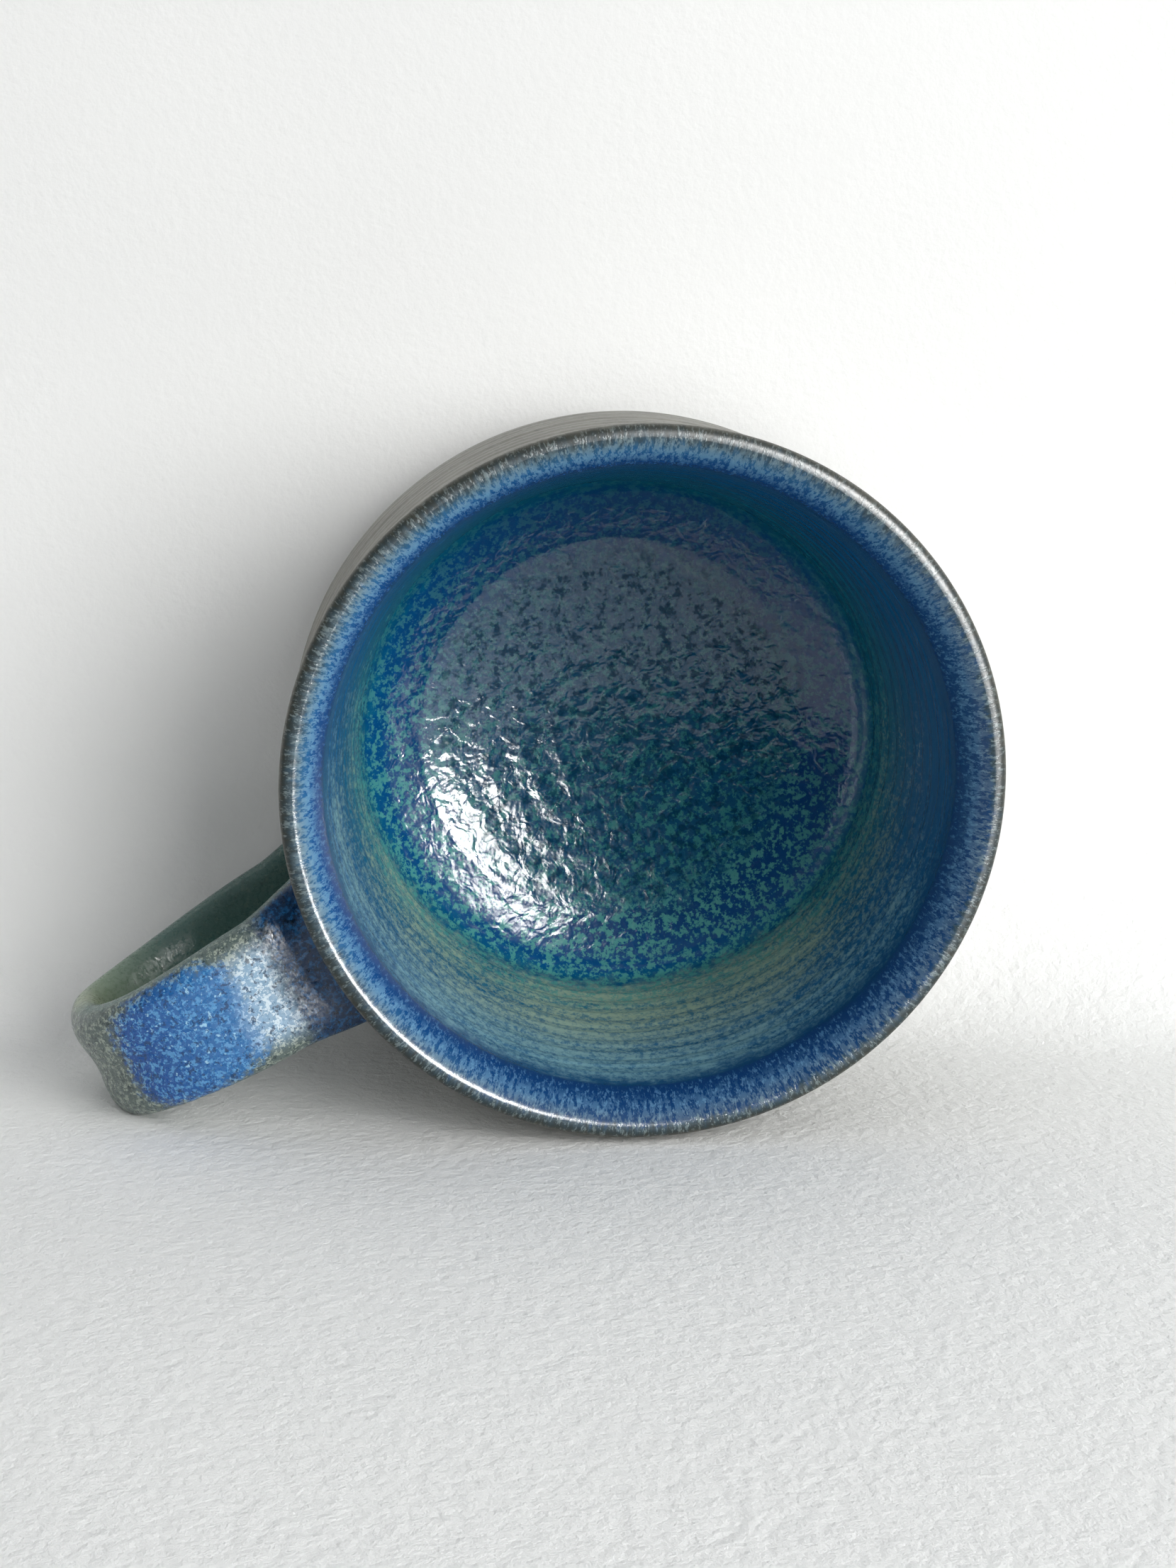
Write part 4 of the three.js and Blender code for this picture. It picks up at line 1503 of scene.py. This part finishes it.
def handle_glaze_material():
    made, tree, surface = material("handle_glaze_blue")
    place = place_of(tree)
    marks = attribute(tree, "strap")
    across, along, _ = split(tree, marks)
    reach = split(tree, attribute(tree, "reach"))[0]
    ragged = noise(tree, place, 1100.0, 3.0, 0.7)
    slow = noise(tree, place, 130.0, 2.0)
    lying = use(tree, pool, {"Strap": marks, "Ragged": ragged})
    thin, navy, broken_and_highlight = (
        specked(tree, place, colour(*under), (PALE, colour(*light)), (DARK, colour(*deep)))
        for under, light, deep in (
            ((80, 94, 92), (150, 160, 148), (46, 60, 62)),
            ((0, 42, 78), (20, 84, 132), (2, 22, 40)),
            ((132, 166, 194), (214, 230, 240), (34, 62, 90)),
        )
    )
    blue = specked(
        tree,
        place,
        step_colour(tree, along, POOL_STOP, POOL_START, colour(10, 68, 136), colour(40, 104, 160)),
        (PALE, colour(84, 144, 192)),
        (DARK, colour(14, 54, 98)),
        (BRIGHT, colour(160, 204, 228)),
    )
    faced = blend(tree, lying["Mask"], thin, blue)
    # Over the crown, the pale flecked colour is partly the glaze breaking and partly a painted highlight of
    # the window.
    crown = band(tree, shifted(tree, along, slow, 5 * MM), ROOT_STOP, POOL_START + 1.5 * MM, 2.2 * MM)
    level = step(tree, maths(tree, "ABSOLUTE", across), 4.5 * MM, 8.5 * MM, 1.0, 0.0)
    faced = blend(tree, times(tree, crown, level, 0.9), faced, broken_and_highlight)
    rooted = shifted(tree, along, ragged, 7 * MM)
    root = step(tree, rooted, ROOT_STOP - 2 * MM, ROOT_STOP + 2 * MM, 1.0, 0.0)
    faced = blend(tree, root, faced, navy)
    palm = ramp(
        tree,
        along,
        [
            (0.0, colour(50, 80, 78)),
            (ELBOW_ALONG / MM - 8.0, colour(72, 102, 96)),
            (ELBOW_ALONG / MM, colour(148, 160, 134)),
            (ELBOW_ALONG / MM + 8.0, colour(120, 140, 120)),
            (ELBOW_ALONG / MM + 20.0, colour(72, 102, 96)),
            (STRAP_LENGTH / MM, colour(50, 80, 78)),
        ],
    )
    palm = specked(tree, place, palm, (FAINT_PALE, colour(112, 128, 112)), (FAINT_DARK, colour(30, 44, 44)))
    both = blend(tree, lying["Outer"], palm, faced)
    wall = use(tree, taupe, {"Vector": place, "Streak": 0.5})
    near = step(tree, reach, 0.1 * MM, 1.1 * MM, 1.0, 0.0)
    tree.links.new(blend(tree, near, both, wall["Colour"]), surface.inputs["Base Color"])
    gloss(surface, 0.3, 1.5)
    grain = noise(tree, place, 1500.0, 3.0, 0.6)
    tree.links.new(step(tree, grain, 0.3, 0.7, 0.2, 0.42), surface.inputs["Roughness"])
    peel = use(tree, orange_peel, {"Vector": place, "Fineness": 620.0})["Height"]
    first = bump(tree, peel, 0.10 * MM)
    tree.links.new(bump(tree, grain, 0.03 * MM, first), surface.inputs["Normal"])
    return made


handle_finish = handle_glaze_material()
print("finish:", handle_finish.name)

# %% [markdown]
# ## The handle's pieces
#
# The glaze is a shell over the clay strap. The clay stops at the wall, and a wedge of luting clay
# fills each corner between them, under the glaze. Nothing shows of the clay, but a broken or cut mug
# would show it, and each piece is a part of the assembly.


# %% Handle pieces
SNUG = 0.03 * MM  # the luting clay presses this far into what it joins


def handle_shell():
    inner, inner_marks, inner_reach = strap_rows(depth=COAT, grow=-COAT)
    points, faces = closed_rings([*glaze_rows, *inner[::-1]])
    strap = np.concatenate([glaze_marks.reshape(-1, 3), inner_marks[::-1].reshape(-1, 3)])
    reach = np.concatenate([glaze_reach.reshape(-1, 3), inner_reach[::-1].reshape(-1, 3)])
    return mesh_of("mug_handle_glaze", points, faces, {"strap": strap, "reach": reach})


def clay_strap():
    """The strap from wall to wall, as a tube with both of its ends closed."""
    ends = []
    for end in ("upper", "lower"):
        _, at = root_lines(end, CLAY_DEPTH, -CLAY_DEPTH)
        ends.append(at(np.full(AROUND, 0.05 * MM)))
    shares = np.linspace(0, 1, 120)
    rows = [strap_surface(ends[0] + (ends[1] - ends[0]) * t, AROUND_ANGLE, -CLAY_DEPTH)[0] for t in shares]
    points = np.concatenate([*rows, [rows[0].mean(axis=0)], [rows[-1].mean(axis=0)]])
    faces = grid_faces(len(rows), AROUND)
    first_pole, last_pole = len(points) - 2, len(points) - 1
    last = (len(rows) - 1) * AROUND
    faces += [(i, first_pole, (i + 1) % AROUND) for i in range(AROUND)]
    faces += [(last + i, last + (i + 1) % AROUND, last_pole) for i in range(AROUND)]
    return mesh_of("mug_handle_clay", points, faces)


def luting_wedge(end):
    """The ring of clay in the corner between strap and wall: its fillet, the wall, and the strap."""
    rows = filleted_rows(end, CLAY_DEPTH, -CLAY_DEPTH)[0][1:]
    radius, at = root_lines(end, CLAY_DEPTH, -CLAY_DEPTH)
    inside = SNUG - CLAY_DEPTH
    snug = [strap_surface(at(radius * share), AROUND_ANGLE, inside)[0] for share in (0.75, 0.5, 0.25)]
    foot = strap_surface(at(np.full(AROUND, 2 * SNUG)), AROUND_ANGLE, inside)[0]
    under = [settle(foot + (rows[0] - foot) * share, inside) for share in (0.0, 0.35, 0.7)]
    ring = [*rows, *snug, *under]
    if end == "lower":
        ring = ring[::-1]
    return mesh_of(f"mug_{end}_luting", *closed_rings(ring))


piece(handle_shell(), handle_finish, "handle_glaze")
piece(clay_strap(), cup_clay_finish, "handle_clay")
piece(luting_wedge("upper"), luting_finish, "upper_luting")
piece(luting_wedge("lower"), luting_finish, "lower_luting")
